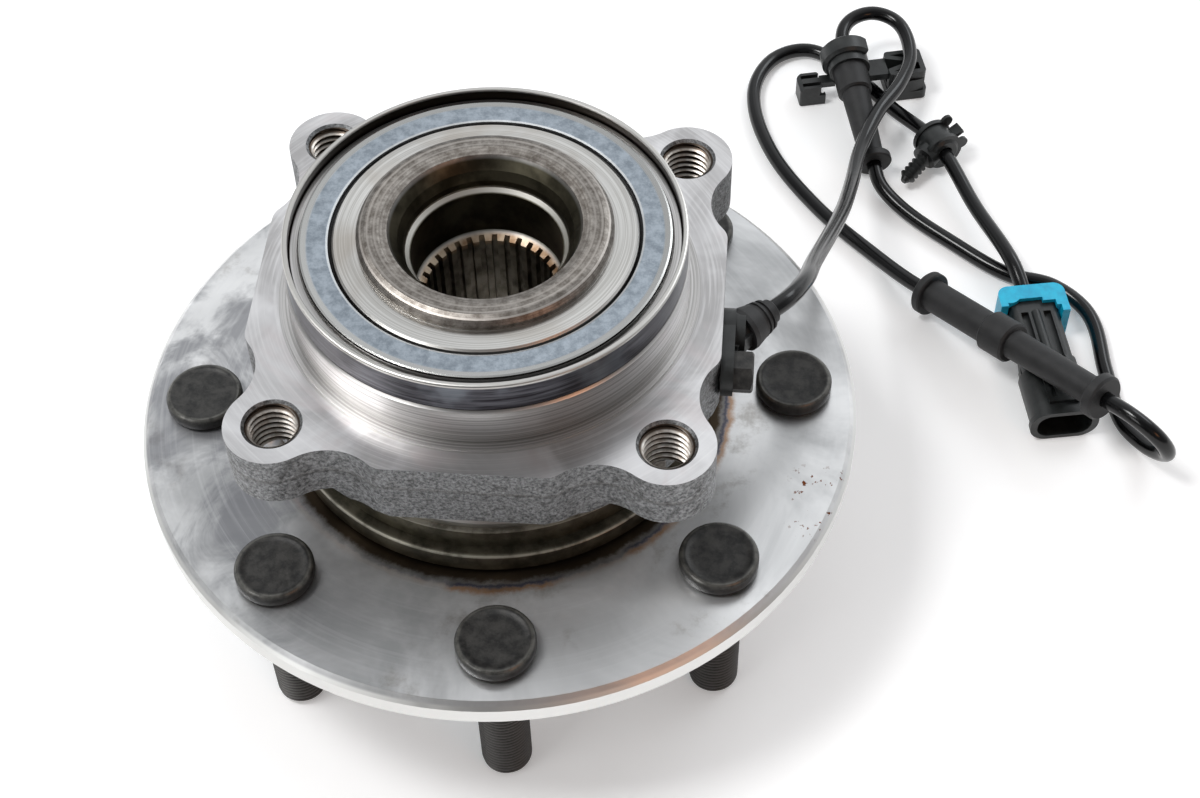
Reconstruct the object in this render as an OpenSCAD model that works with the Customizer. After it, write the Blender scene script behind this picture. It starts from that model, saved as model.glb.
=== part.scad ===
// Driven-axle wheel hub bearing: a bolt-on housing with two rows of tapered rollers, an eight-stud
// wheel hub, and a wheel-speed sensor on a lead. Origin: centre of the wheel's seat, in the plane
// where the wheel bears; +Z runs inboard, towards the vehicle. At rest it stands on its stud tips.

/* [Wheel flange] */
// Outer radius of the wheel flange
flange_r = 100; // [96:0.5:110]
// Thickness of the wheel flange
flange_t = 12; // [10:0.5:15]
// Chamfer on the flange's inboard edge
rim_chamfer = 2; // [0.5:0.5:3]
// Chamfer on the flange's wheel-side edge
wheel_chamfer = 5; // [1:0.5:6]
// Fillet between the flange and the neck
neck_fillet = 2; // [1:0.5:2.5]
// Turn of the hub against the housing as it rests
hub_turn = 5.5; // [0:0.5:45]

/* [Wheel studs] */
// Number of wheel studs
stud_count = 8; // [5:1:8]
// Pitch circle of the wheel studs
stud_circle = 165.1; // [160:0.1:170]
// Radius of the stud thread
stud_r = 7; // [6:0.5:8]
// Stud reach beyond the wheel's seat
stud_reach = 44.5; // [36:0.5:55]
// Radius of the pressed-in knurl
knurl_r = 7.35; // [7.3:0.05:8.5]
// Radius of the stud head
stud_head_r = 10.6; // [9.5:0.1:12]
// Height of the stud head
stud_head_h = 4.8; // [3.5:0.1:7]
// Height of the narrower foot under the head
stud_foot_h = 1; // [0.5:0.1:1.5]

/* [Wheel pilot] */
// Radius of the pilot that centres the wheel
wheel_pilot_r = 58.3; // [55:0.1:62]
// Height of the wheel pilot
wheel_pilot_h = 13; // [10:0.5:18]
// Radius of the recess inside the pilot
recess_r = 47; // [44:0.5:50]
// Depth of the recess floor, inboard of the wheel's seat
recess_deep = 1; // [0.5:0.5:3]
// Radius of the axle nut's seat
nut_seat_r = 28; // [25:0.5:31]
// Stand of the nut's seat beyond the wheel's seat
nut_seat_h = 3; // [1:0.5:6]

/* [Axle bore] */
// Number of internal spline teeth
spline_teeth = 33; // [28:1:36]
// Radius at the tips of the spline teeth
spline_tip_r = 17.2; // [16.5:0.1:17.6]
// Radius at the roots of the spline teeth
spline_root_r = 18.65; // [18.2:0.05:19]
// Radius of the plain bore above the splines
plain_bore_r = 19.8; // [19.4:0.1:20.5]
// Height of the end of the splines over the wheel's seat
spline_end = 57.5; // [50:0.5:62]
// Radius of the ledge at the foot of the funnel
ledge_r = 21.06; // [20.6:0.1:22]
// Depth of the ledge below the formed end's crest
ledge_deep = 8.9; // [7:0.1:11]

/* [Spindle] */
// Radius of the hub's seal neck
neck_r = 41; // [40.6:0.1:41.4]
// Height of the bearing shoulder over the wheel's seat
shoulder_z = 23.5; // [22.5:0.5:26]
// Radius of the spindle that carries the inner rings
spindle_r = 31; // [30:0.1:31.6]
// Outer radius of the rolled-over end
formed_r = 33.05; // [32.8:0.05:34]
// Height of the rolled-over end above the inner ring
formed_h = 3.5; // [3:0.1:4.5]

/* [Bearing rows] */
// Width of one inner ring
cone_w = 28; // [27:0.5:30]
// Number of rollers in a row
roller_count = 22; // [16:1:22]
// Length of a roller
roller_len = 16; // [14:0.5:16.5]
// Radius of a roller's small end
roller_small_r = 4; // [3.6:0.05:4.1]
// Radius of a roller's large end
roller_large_r = 4.6; // [4.2:0.05:4.7]
// Tilt of a roller against the bearing axis
roller_tilt = 13.7; // [12.5:0.1:14.5]
// Radius from the axis to a roller's small end
roller_circle_r = 38.7; // [38.4:0.1:39]
// Distance from the bearing's middle to a roller's small end
roller_start = 7.9; // [7.4:0.1:8.2]
// Running clearance between roller and raceway
race_gap = 0.12; // [0.1:0.01:0.2]
// Outer radius of the inner ring's large rib
rib_r = 39.4; // [39:0.1:39.8]
// Outer radius of the inner ring's small rib
small_rib_r = 35.5; // [35.2:0.1:35.8]
// Outer radius of the inner ring's seat for the tone ring
cone_seat_r = 34.5; // [33.5:0.1:34.6]
// Thickness of the cage sheet
cage_t = 1.6; // [1.2:0.1:2]
// Clearance of a roller in its cage pocket
pocket_gap = 0.25; // [0.15:0.05:0.35]

/* [Tone ring] */
// Number of teeth on the tone ring
tone_teeth = 48; // [36:1:60]
// Outer radius of the tone ring
tone_r = 41.4; // [40.8:0.1:41.6]
// Depth of the tone ring's teeth
tone_deep = 3.2; // [2:0.1:3.6]
// Width of the tone ring
tone_w = 6; // [5:0.5:7]
// Width of one tone ring tooth
tone_tooth = 2.6; // [1.8:0.1:3]

/* [Housing] */
// Half width of the housing across its flats
half_w = 61.7; // [61:0.1:64]
// Half the distance between the knuckle bolts
bolt_half = 49.5; // [49:0.1:51]
// Radius of the knuckle bolt threads
bolt_r = 7; // [6:0.5:8]
// Radius of a mounting ear
ear_r = 12.4; // [12:0.1:14]
// Radius of the round between a flat and a scallop
flat_round = 6; // [4:0.5:7]
// Distance from the axis out to a scallop's centre
scallop_x = 71.7; // [70:0.1:74]
// Distance from the flat's middle along to a scallop's centre
scallop_y = 33.5; // [32.5:0.1:34.5]
// Thickness of the housing flange
plate_t = 16; // [14:0.5:18]
// Distance from the bearing's middle down to the flange's underside
plate_drop = 8.3; // [7:0.1:9]
// Radius of the boss under the flange
under_boss_r = 64.7; // [62:0.1:66]
// Height of the boss under the flange
under_boss_h = 4; // [2:0.5:6]
// Outer radius of the housing's neck
housing_neck_r = 55; // [54:0.1:56]
// Depth of the housing's neck below the bearing shoulder
housing_neck_drop = 5; // [4:0.5:5.5]
// Radius of the housing's seal bores
seal_bore_r = 48; // [47.8:0.1:48.6]
// Radius of the barrel that fits the knuckle
barrel_r = 52.5; // [52:0.1:54]
// Radius of the ring at the foot of the barrel
barrel_foot_r = 54.9; // [54.5:0.1:56]
// Length of the barrel that fits the knuckle
barrel_h = 12.7; // [10:0.1:13]
// Depth of the housing's end face below the inner ring's face
end_drop = 1.5; // [1:0.1:2.5]

/* [Barrel sleeve] */
// Outer radius of the press-on sleeve
sleeve_r = 51.96; // [51.5:0.01:52]
// Wall of the press-on sleeve
sleeve_wall = 1.41; // [1:0.01:1.6]
// Stand of the sleeve above the housing's end face
sleeve_stand = 3.2; // [2:0.1:4.5]

/* [Seals] */
// Thickness of the seal cases
case_t = 1; // [0.8:0.1:1.2]
// Inner radius of the inboard seal case
seal_face_r = 40.4; // [40:0.1:41]
// Radius of the foot of the inboard seal's bright slope
seal_slope_r = 45.7; // [45:0.1:46.2]
// Stand of the inboard seal above the housing's end face
seal_stand = 1.7; // [1:0.1:2.2]
// Gap between a lip and what it wipes
lip_gap = 0.1; // [0.05:0.05:0.2]
// Thickness of the slinger sheet
slinger_t = 0.9; // [0.7:0.1:1.2]
// Outer radius of the slinger
slinger_r = 46.6; // [45.8:0.1:46.8]
// Wall of the outboard shield
shield_t = 1.3; // [1:0.1:1.5]
// Step from the housing's neck out to the face of the shield's skirt
skirt_out = 4.5; // [3.5:0.1:7]
// Gap between the skirt and the wheel flange
skirt_gap = 1.5; // [1:0.1:2.5]
// Height of the skirt
skirt_h = 5.8; // [5:0.1:6.5]
// Height of the shield's grip on the neck
shield_grip = 7.5; // [5:0.5:9]

/* [Speed sensor] */
// Offset of the sensor from the middle of its flat
sensor_y = -6; // [-8:0.5:-5]
// Height of the sensor's axis below the bearing's middle
sensor_drop = 0.5; // [0:0.1:1]
// Radius of the sensor's probe
probe_r = 5.1; // [4.8:0.1:5.5]
// Clearance of the probe in its bore
probe_gap = 0.1; // [0.05:0.05:0.2]
// Air gap between the pole piece and the tone ring
air_gap = 0.9; // [0.6:0.1:1.5]
// Radius of the pole piece
pole_r = 2.6; // [2:0.1:3]
// Thickness of the sensor's mounting plate
sensor_plate_t = 3.3; // [2.5:0.1:4]
// Height of the sensor's mounting plate
sensor_plate_h = 13.6; // [12.6:0.2:15]
// Distance between the probe and the screw
screw_pitch = 12.7; // [12:0.1:13.5]
// Radius of the screw thread
screw_r = 3; // [2.5:0.5:3]
// Length of the screw below its head
screw_len = 14; // [10:0.5:16]
// Width across the flats of the screw head
screw_af = 10; // [8:0.5:10]
// Height of the screw head
screw_head_h = 5.2; // [3:0.1:6]
// Direction in which the lead leaves the sensor
boot_turn = 45; // [40:1:50]
// Length of the boot's axis from the probe's axis to the boot's tip
boot_len = 12.6; // [12:0.1:14]
// Radius of the boot's tip
boot_tip_r = 3.4; // [3.2:0.1:4]
// Radius of the boot's base
boot_base_r = 6; // [5.4:0.1:6.2]
// Thickness of the web between the sensor's plate and its boot
sensor_web = 5; // [3:0.5:7]

/* [Lead] */
// Radius of the lead
lead_r = 2.45; // [2.2:0.05:2.5]
// Clearance of the lead in what holds it
lead_gap = 0.15; // [0.1:0.05:0.25]

/* [Lead clips] */
// Length of the first grommet
grommet_a_len = 48; // [42:0.5:49]
// Radius of the first grommet's end discs
grommet_a_r = 6.3; // [5.8:0.1:6.4]
// Radius of the first grommet's neck
neck_a_r = 4.6; // [4.2:0.1:5]
// Radius of the first grommet's collar
collar_a_r = 6; // [5.4:0.1:6.2]
// Length of the first grommet's collar
collar_a_len = 10; // [7:0.5:12]
// Length of the second grommet
grommet_b_len = 75.5; // [70:0.5:77]
// Radius of the second grommet's end discs
grommet_b_r = 7.2; // [6.6:0.1:7.3]
// Radius of the second grommet's tubes
tube_b_r = 5; // [4.6:0.1:5]
// Radius of the second grommet's collar
collar_b_r = 6.6; // [6:0.1:7]
// Length of the second grommet's collar
collar_b_len = 10; // [7:0.5:12]
// Thickness of the grommets' end discs
disc_t = 3; // [2:0.1:3.5]
// Width of the bracket clip's ring and arms
bracket_w = 5; // [4:0.5:6]
// Wall of the bracket clip
bracket_t = 1.8; // [1.2:0.1:2.2]
// Reach of the bracket clip's half-round guard over the grommet's head
guard_len = 4; // [2:0.5:5]
// Clearance between the guard and the grommet's head
guard_gap = 0.4; // [0.3:0.1:0.8]
// Length of the fir-tree stem
stem_len = 12; // [10:0.5:13]
// Radius of the fir-tree stem
stem_r = 1.7; // [1.4:0.1:2]
// Radius of the fir-tree clip's body
clip_body_r = 6; // [5.4:0.1:6.4]
// Length of the fir-tree clip's body along the lead
clip_body_len = 11; // [9:0.5:12]
// Stand of the fir-tree clip's release tab above its body
tab_stand = 3.6; // [2:0.2:4.4]

/* [Connector] */
// Length of the connector body
plug_len = 49.7; // [46:0.1:52]
// Width of the connector's mouth
mouth_w = 20; // [19:0.1:21]
// Height of the connector's mouth
mouth_h = 12.4; // [12:0.1:12.6]
// Wall of the connector's mouth
mouth_wall = 1.5; // [1.2:0.1:2]
// Depth of the connector's mouth
mouth_deep = 17; // [14:0.5:18]
// Stand of the bead round the connector's mouth
rim_out = 0.7; // [0.4:0.1:1]
// Radius of the rib along the connector's rear body
rib_r_top = 1.5; // [1:0.1:1.8]
// Thickness of the webs between the rear body and the mouth
plug_web = 3; // [2:0.5:4]
// Width of the connector's rear body
rear_w = 15.4; // [14.6:0.1:16]
// Height of the connector's rear body
rear_h = 10.6; // [10:0.1:11]
// Width of one terminal blade
blade_w = 2.8; // [2:0.1:3.2]
// Thickness of one terminal blade
blade_t = 0.8; // [0.6:0.1:1.2]
// Distance between the two terminals
blade_pitch = 6.4; // [5:0.1:7]
// Width of the lock
lock_w = 21.5; // [21:0.1:23]
// Clearance of the lock on the connector
lock_gap = 0.25; // [0.2:0.05:0.35]
// Thickness of the lock over the connector
lock_t = 1.4; // [1:0.1:2]

/* [Hidden] */
$fn = 64;
eps = 0.01;

floor_z = -stud_reach;
middle_z = shoulder_z + cone_w;
cone_face_z = middle_z + cone_w;
crest_z = cone_face_z + formed_h;
plate_z = middle_z - plate_drop;
plate_top_z = plate_z + plate_t;
neck_z = shoulder_z - housing_neck_drop;
end_z = cone_face_z - end_drop;
barrel_top_z = plate_top_z + barrel_h;
bore_end_z = spline_end + 1.8;
sensor_z = middle_z - sensor_drop;

skirt_r = housing_neck_r + skirt_out;

// The point at distance t along a roller's axis and n outwards from it, as radius and height
// over the bearing's middle
function roller_point(t, n) =
    [roller_circle_r + t * sin(roller_tilt) + n * cos(roller_tilt),
     roller_start + t * cos(roller_tilt) - n * sin(roller_tilt)];
function roller_radius(t) =
    roller_small_r + (roller_large_r - roller_small_r) * t / roller_len;
function cup_point(t) = roller_point(t, roller_radius(t) + race_gap);
function cone_point(t) = roller_point(t, -roller_radius(t) - race_gap);
function arc(c, r, a, b, n = 6) = [for (i = [0:n]) c + r * [cos(a + (b - a) * i / n), sin(a + (b - a) * i / n)]];
function unit(v) = v / norm(v);

// Turns what is drawn along +Z to lie along a direction from a point
module along(p, d) {
    translate(p) rotate([0, acos(d.z / norm(d)), atan2(d.y, d.x)]) children();
}

// Both rows are drawn over the bearing's middle; the outboard one is the mirror image
module inboard_row() {
    translate([0, 0, middle_z]) children();
}

module outboard_row() {
    translate([0, 0, middle_z]) mirror([0, 0, 1]) children();
}

module rounded(w, h, r) {
    square([w - 2 * r, h], center = true);
    square([w, h - 2 * r], center = true);
    for (x = [-1, 1], y = [-1, 1]) translate([x * (w / 2 - r), y * (h / 2 - r)]) circle(r);
}

// Hub

stud_hole_r = knurl_r;
funnel_r = ledge_r + 4;
ledge_z = crest_z - ledge_deep;

hub_profile = concat(
    [[spline_tip_r + 1.4, -nut_seat_h], [nut_seat_r - 1, -nut_seat_h], [nut_seat_r, 1 - nut_seat_h],
     [nut_seat_r + 1, recess_deep], [recess_r - 1, recess_deep], [recess_r, recess_deep - 1],
     [recess_r, 1 - wheel_pilot_h], [recess_r + 1, -wheel_pilot_h],
     [wheel_pilot_r - 1.5, -wheel_pilot_h], [wheel_pilot_r, 1.5 - wheel_pilot_h],
     [wheel_pilot_r, 0], [wheel_pilot_r - 0.2, 1], [wheel_pilot_r + 0.8, 1], [wheel_pilot_r + 0.8, 0],
     [flange_r - wheel_chamfer, 0], [flange_r, wheel_chamfer],
     [flange_r, flange_t - rim_chamfer], [flange_r - rim_chamfer, flange_t]],
    arc([neck_r + neck_fillet, flange_t + neck_fillet], neck_fillet, 270, 180),
    [[neck_r, shoulder_z - 0.6], [neck_r - 0.6, shoulder_z], [spindle_r, shoulder_z],
     [spindle_r, cone_face_z], [formed_r, cone_face_z], [formed_r, cone_face_z + 1.6],
     [formed_r - 0.9, crest_z - 0.7], [formed_r - 2.4, crest_z], [funnel_r + 2.4, crest_z],
     [funnel_r, crest_z - 0.7], [ledge_r + 1.6, crest_z - 4.2], [ledge_r + 0.4, crest_z - 6.8],
     [ledge_r, ledge_z], [plain_bore_r, ledge_z - 1.1], [plain_bore_r, bore_end_z],
     [plain_bore_r - 0.4, spline_end + 1.5], [spline_tip_r, spline_end],
     [spline_tip_r, 1.4 - nut_seat_h]]);

// One space between two spline teeth, narrowing towards its root
module spline_space() {
    pitch = 360 / spline_teeth;
    tip_half = 0.29 * pitch;
    root_half = 0.2 * pitch;
    polygon([for (p = [[spline_tip_r - 1, -tip_half], [spline_root_r, -root_half],
                       [spline_root_r, root_half], [spline_tip_r - 1, tip_half]])
             p[0] * [cos(p[1]), sin(p[1])]]);
}

module wheel_hub() {
    color("silver") rotate(hub_turn) difference() {
        rotate_extrude() polygon(hub_profile);
        translate([0, 0, -nut_seat_h - 1])
            linear_extrude(bore_end_z + nut_seat_h + 1.2)
            for (i = [1:spline_teeth]) rotate(i * 360 / spline_teeth) spline_space();
        for (i = [1:stud_count]) rotate(i * 360 / stud_count)
            translate([stud_circle / 2, 0, -1]) cylinder(r = stud_hole_r, h = flange_t + 2);
    }
}

// A stud with a knurled shank, a narrow foot and a bevelled head with a shallow dish
module wheel_stud() {
    under = flange_t + stud_foot_h;
    top = flange_t + stud_head_h;
    rotate_extrude() polygon([
        [0, -stud_reach], [stud_r - 2.2, -stud_reach], [stud_r - 1.4, -stud_reach + 0.5],
        [stud_r, -stud_reach + 2.4], [stud_r, 0], [knurl_r, 0.4], [knurl_r, flange_t],
        [stud_head_r - 0.6, flange_t], [stud_head_r - 0.6, under], [stud_head_r, under + 0.3],
        [stud_head_r, top - 0.8], [stud_head_r - 0.8, top], [stud_head_r - 1.6, top],
        [stud_head_r - 2.4, top - 0.3], [0, top - 0.3]]);
}

module wheel_studs() {
    color([0.12, 0.12, 0.12])
        for (i = [1:stud_count]) rotate(hub_turn + i * 360 / stud_count)
            translate([stud_circle / 2, 0, 0]) wheel_stud();
}

// Inner rings, with a large rib behind the rollers and a small one before them

module cone_ring() {
    foot = cone_point(0.2);
    head = cone_point(roller_len - 0.1);
    rib = roller_point(roller_len + race_gap, 0);
    rib_rise = (rib_r - rib[0]) * tan(roller_tilt);
    rotate_extrude() polygon([
        [spindle_r, 0.8], [spindle_r + 0.8, 0], [cone_seat_r - 0.6, 0], [cone_seat_r, 0.6],
        [cone_seat_r, foot[1] - 2.6], [small_rib_r - 0.3, foot[1] - 2.6],
        [small_rib_r, foot[1] - 2.3], [small_rib_r, foot[1] - 0.8], [foot[0], foot[1] - 0.5],
        foot, head, [head[0], rib[1] - (head[0] - rib[0]) * tan(roller_tilt) + 0.2],
        [rib_r, rib[1] - rib_rise + 0.1], [rib_r, cone_w - 0.5], [rib_r - 0.5, cone_w],
        [spindle_r + 1.5, cone_w], [spindle_r, cone_w - 1.5]]);
}

module inboard_inner_ring() {
    color("silver") inboard_row() cone_ring();
}

module outboard_inner_ring() {
    color("silver") outboard_row() cone_ring();
}

module tone_ring() {
    color([0.35, 0.33, 0.3]) rotate(hub_turn) translate([0, 0, sensor_z - tone_w / 2])
        linear_extrude(tone_w) difference() {
            union() {
                circle(tone_r - tone_deep);
                for (i = [1:tone_teeth]) rotate(i * 360 / tone_teeth)
                    translate([tone_r - tone_deep - 1, -tone_tooth / 2])
                    square([tone_deep + 1, tone_tooth]);
            }
            circle(cone_seat_r);
        }
}

// Rolling elements

module at_rollers() {
    for (i = [1:roller_count]) rotate(i * 360 / roller_count)
        translate([roller_circle_r, 0, roller_start]) rotate([0, roller_tilt, 0]) children();
}

module rollers() {
    edge = 0.3;
    at_rollers() rotate_extrude() polygon([
        [0, 0], [roller_small_r - edge, 0], [roller_radius(edge), edge],
        [roller_radius(roller_len - edge), roller_len - edge],
        [roller_large_r - edge, roller_len], [0, roller_len]]);
}

// A pressed-sheet cage: a cone with one pocket for each roller and an inturned lip at its small end
module cage() {
    lean = 0.6;
    small_t = -1.4 - cage_t;
    large_t = roller_len + 2;
    difference() {
        rotate_extrude() polygon([
            roller_point(small_t, -lean - 1), roller_point(small_t + cage_t, -lean - 1),
            roller_point(small_t + cage_t, lean), roller_point(large_t, lean),
            roller_point(large_t, lean + cage_t), roller_point(small_t, lean + cage_t)]);
        at_rollers() translate([0, 0, -pocket_gap]) cylinder(r1 = roller_small_r + pocket_gap,
            r2 = roller_large_r + pocket_gap, h = roller_len + 2 * pocket_gap);
    }
}

module inboard_rollers() {
    color("lightgrey") inboard_row() rollers();
}

module inboard_cage() {
    color([0.5, 0.45, 0.38]) inboard_row() cage();
}

module outboard_rollers() {
    color("lightgrey") outboard_row() rollers();
}

module outboard_cage() {
    color([0.5, 0.45, 0.38]) outboard_row() cage();
}

// Housing

scallop_r = norm([scallop_x, scallop_y] - [bolt_half, bolt_half]) - ear_r;
round_x = half_w - flat_round;
round_y = scallop_y - sqrt(pow(scallop_r + flat_round, 2) - pow(scallop_x - round_x, 2));

module each_corner() {
    for (x = [0, 1], y = [0, 1]) mirror([x, 0]) mirror([0, y]) children();
}

module each_half_corner() {
    each_corner() {
        children();
        mirror([1, -1]) children();
    }
}

module flange_outline() {
    difference() {
        union() {
            square([2 * round_x, 2 * round_x - 2 * flat_round], center = true);
            square([2 * round_x - 2 * flat_round, 2 * round_x], center = true);
            square([2 * half_w, 2 * round_y], center = true);
            square([2 * round_y, 2 * half_w], center = true);
            each_corner() translate([bolt_half, bolt_half]) circle(ear_r);
            each_half_corner() {
                translate([round_x, round_y]) circle(flat_round);
                polygon([[round_x - 2 * flat_round, 0], [round_x, round_y],
                         [scallop_x, scallop_y], [bolt_half, bolt_half]]);
            }
        }
        each_half_corner() translate([scallop_x, scallop_y]) circle(scallop_r);
    }
}

module cup_bore() {
    lead_in = cup_point(roller_len + 1);
    run_out = cup_point(-1);
    seal_floor = lead_in[1] + 0.5;
    top = end_z - middle_z;
    rotate_extrude() polygon([
        [0, -eps], [run_out[0], -eps], run_out, lead_in, [seal_bore_r, seal_floor],
        [seal_bore_r, top - 0.4], [seal_bore_r + 0.5, top + 0.1],
        [seal_bore_r + 0.5, top + 10], [0, top + 10]]);
}

module outer_ring() {
    color([0.55, 0.54, 0.53]) difference() {
        union() {
            translate([0, 0, plate_z]) linear_extrude(plate_t) flange_outline();
            translate([0, 0, plate_z - under_boss_h]) linear_extrude(under_boss_h + 1) intersection() {
                circle(under_boss_r);
                flange_outline();
            }
            rotate_extrude() polygon([
                [seal_bore_r - 6, neck_z], [housing_neck_r - 0.8, neck_z],
                [housing_neck_r, neck_z + 0.8], [housing_neck_r, plate_z - under_boss_h - 2.5],
                [housing_neck_r + 2.5, plate_z - under_boss_h + eps], [housing_neck_r + 2.5, plate_z + 1],
                [barrel_foot_r, plate_z + 1], [barrel_foot_r, plate_top_z + 0.7],
                [barrel_r, plate_top_z + 0.7], [barrel_r, barrel_top_z - 0.6],
                [barrel_r - 0.6, barrel_top_z], [sleeve_r - sleeve_wall, barrel_top_z],
                [sleeve_r - sleeve_wall, end_z - 0.4], [sleeve_r - sleeve_wall - 0.4, end_z],
                [seal_bore_r - 6, end_z]]);
        }
        inboard_row() cup_bore();
        outboard_row() cup_bore();
        for (x = [-1, 1], y = [-1, 1]) translate([x * bolt_half, y * bolt_half, 0]) {
            translate([0, 0, plate_z - under_boss_h - 1])
                cylinder(r = bolt_r, h = plate_t + under_boss_h + 2);
            translate([0, 0, plate_top_z - 0.8]) cylinder(r1 = bolt_r, r2 = bolt_r + 1, h = 1);
            translate([0, 0, plate_z - 0.2]) cylinder(r1 = bolt_r + 1, r2 = bolt_r, h = 1);
        }
        at_sensor() translate([0, 0, -half_w / 2]) cylinder(r = probe_r + probe_gap, h = half_w);
        at_sensor_screw() translate([0, 0, sensor_plate_t - screw_len - 1])
            cylinder(r = screw_r, h = screw_len + 2);
    }
}

module barrel_sleeve() {
    inner = sleeve_r - sleeve_wall;
    top = end_z + sleeve_stand;
    color([0.2, 0.2, 0.24]) rotate_extrude() polygon([
        [inner, barrel_top_z], [sleeve_r - 0.3, barrel_top_z], [sleeve_r, barrel_top_z + 0.3],
        [sleeve_r, top - 0.4], [sleeve_r - 0.2, top - 0.1], [sleeve_r - 0.5, top],
        [inner + 0.2, top], [inner, top - 0.2]]);
}

// Seals

inboard_face_z = end_z + seal_stand;

// A sheet-metal case pressed into the bore, with a rounded bead that slopes in to a flat face
module inboard_seal_case() {
    face = inboard_face_z - 0.3;
    color("lightsteelblue") rotate_extrude() polygon([
        [seal_bore_r - case_t - 0.1, end_z - 2.4], [seal_bore_r, end_z - 2.4],
        [seal_bore_r, inboard_face_z - 0.6], [seal_bore_r - 0.2, inboard_face_z - 0.15],
        [seal_bore_r - 0.7, inboard_face_z], [seal_slope_r, face], [seal_face_r + 0.6, face],
        [seal_face_r, face - 0.2], [seal_face_r, face - case_t], [seal_slope_r, face - case_t],
        [seal_bore_r - case_t - 0.1, face - case_t + 0.1]]);
}

module inboard_seal_lip() {
    seat = inboard_face_z - 0.3 - case_t;
    wipe = rib_r + lip_gap;
    color([0.1, 0.1, 0.1]) rotate_extrude() polygon([
        [seal_face_r + 2.6, seat], [seal_face_r, seat], [seal_face_r - 0.1, seat - 0.4],
        [wipe, seat - 0.9], [wipe, seat - 1.3], [seal_face_r, seat - 1.5],
        [seal_face_r + 1.4, seat - 1.2], [seal_face_r + 2.6, seat - 0.8]]);
}

// A stepped sheet shield gripped on the housing's neck, its skirt close over the wheel flange
module outboard_shield() {
    rim = flange_t + skirt_gap;
    shelf = rim + skirt_h;
    grip = housing_neck_r + shield_t;
    color([0.4, 0.39, 0.33]) rotate_extrude() polygon(concat(
        [[housing_neck_r, shelf - shield_t + 0.6], [skirt_r - shield_t, shelf - shield_t],
         [skirt_r - shield_t, rim], [skirt_r, rim]],
        arc([skirt_r - 0.7, shelf - 0.7], 0.7, 0, 90, 4),
        [[grip, shelf + 0.4], [grip, shelf + shield_grip - 0.8],
         [grip - 0.4, shelf + shield_grip - 0.6], [housing_neck_r, shelf + shield_grip - 0.6]]));
}

lip_seat_z = shoulder_z + 1.1;
slinger_z = flange_t + neck_fillet + 0.2;

module outboard_seal_case() {
    color("lightsteelblue") rotate_extrude() polygon([
        [seal_bore_r - case_t, neck_z + 0.3], [seal_bore_r, neck_z + 0.3],
        [seal_bore_r, lip_seat_z + case_t - 0.4], [seal_bore_r - 0.4, lip_seat_z + case_t],
        [neck_r + 2.4, lip_seat_z + case_t], [neck_r + 2.4, lip_seat_z],
        [seal_bore_r - case_t, lip_seat_z]]);
}

// The rubber of the outboard seal, with one lip on the slinger's sleeve and one on its flange
module outboard_seal_lip() {
    wipe_r = neck_r + slinger_t + lip_gap;
    wipe_z = slinger_z + slinger_t + lip_gap;
    tip = slinger_r - 0.8;
    color([0.1, 0.1, 0.1]) rotate_extrude() polygon([
        [seal_bore_r - case_t, lip_seat_z], [seal_bore_r - case_t, lip_seat_z - 1.1],
        [tip, lip_seat_z - 1.6], [tip, wipe_z], [tip - 0.5, wipe_z],
        [tip - 1.4, lip_seat_z - 2.3], [wipe_r + 1.4, lip_seat_z - 2.4],
        [wipe_r, lip_seat_z - 3.1], [wipe_r, lip_seat_z - 2.7],
        [wipe_r + 0.6, lip_seat_z - 1.4], [wipe_r + 0.6, lip_seat_z]]);
}

module outboard_slinger() {
    sleeve = neck_r + slinger_t;
    color("silver") rotate_extrude() polygon([
        [neck_r, slinger_z], [slinger_r, slinger_z], [slinger_r, slinger_z + slinger_t],
        [sleeve, slinger_z + slinger_t], [sleeve, shoulder_z - 1.2], [neck_r, shoulder_z - 1.2]]);
}

// Speed sensor, on the housing's +X flat

module at_sensor() {
    translate([half_w, sensor_y, sensor_z]) rotate([0, 90, 0]) children();
}

module at_sensor_screw() {
    translate([half_w, sensor_y - screw_pitch, sensor_z]) rotate([0, 90, 0]) children();
}

// The boot's axis starts inside the sensor's head and turns away from the probe's axis
module at_boot() {
    translate([half_w + sensor_plate_t + 0.5, sensor_y, sensor_z])
        rotate([0, 90, boot_turn]) children();
}

pole_x = sqrt(pow(tone_r + air_gap, 2) - pow(sensor_y + pole_r, 2));
nose_x = sqrt(pow(tone_r + air_gap + 0.3, 2) - pow(sensor_y + probe_r, 2));
o_ring_t = 0.58;
o_ring_z = -5;
stub_len = 6.5;
stub_r = 4.1;

// The head: a low drum on the plate, a stub for the boot and a web that braces the stub
module sensor_head() {
    drum_r = sensor_plate_h / 2 - 0.6;
    brace = boot_base_r + 0.6;
    at_sensor() translate([0, 0, sensor_plate_t - eps]) cylinder(r = drum_r, h = 2.6);
    at_boot() cylinder(r = stub_r, h = stub_len);
    translate([half_w + sensor_plate_t - eps, sensor_y, sensor_z - sensor_web / 2])
        linear_extrude(sensor_web)
        polygon([[0, -drum_r], [0.8, -drum_r], [brace, 0.8], [0, 0]]);
}

module sensor_plate() {
    end_r = sensor_plate_h / 2;
    difference() {
        union() {
            at_sensor() cylinder(r = end_r, h = sensor_plate_t);
            at_sensor_screw() cylinder(r = end_r - 0.4, h = sensor_plate_t);
            translate([half_w, sensor_y - screw_pitch, sensor_z - end_r + 0.4])
                cube([sensor_plate_t, screw_pitch, sensor_plate_h - 0.8]);
        }
        at_sensor_screw() translate([0, 0, -1]) cylinder(r = screw_r + 0.2, h = sensor_plate_t + 2);
    }
}

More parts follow.
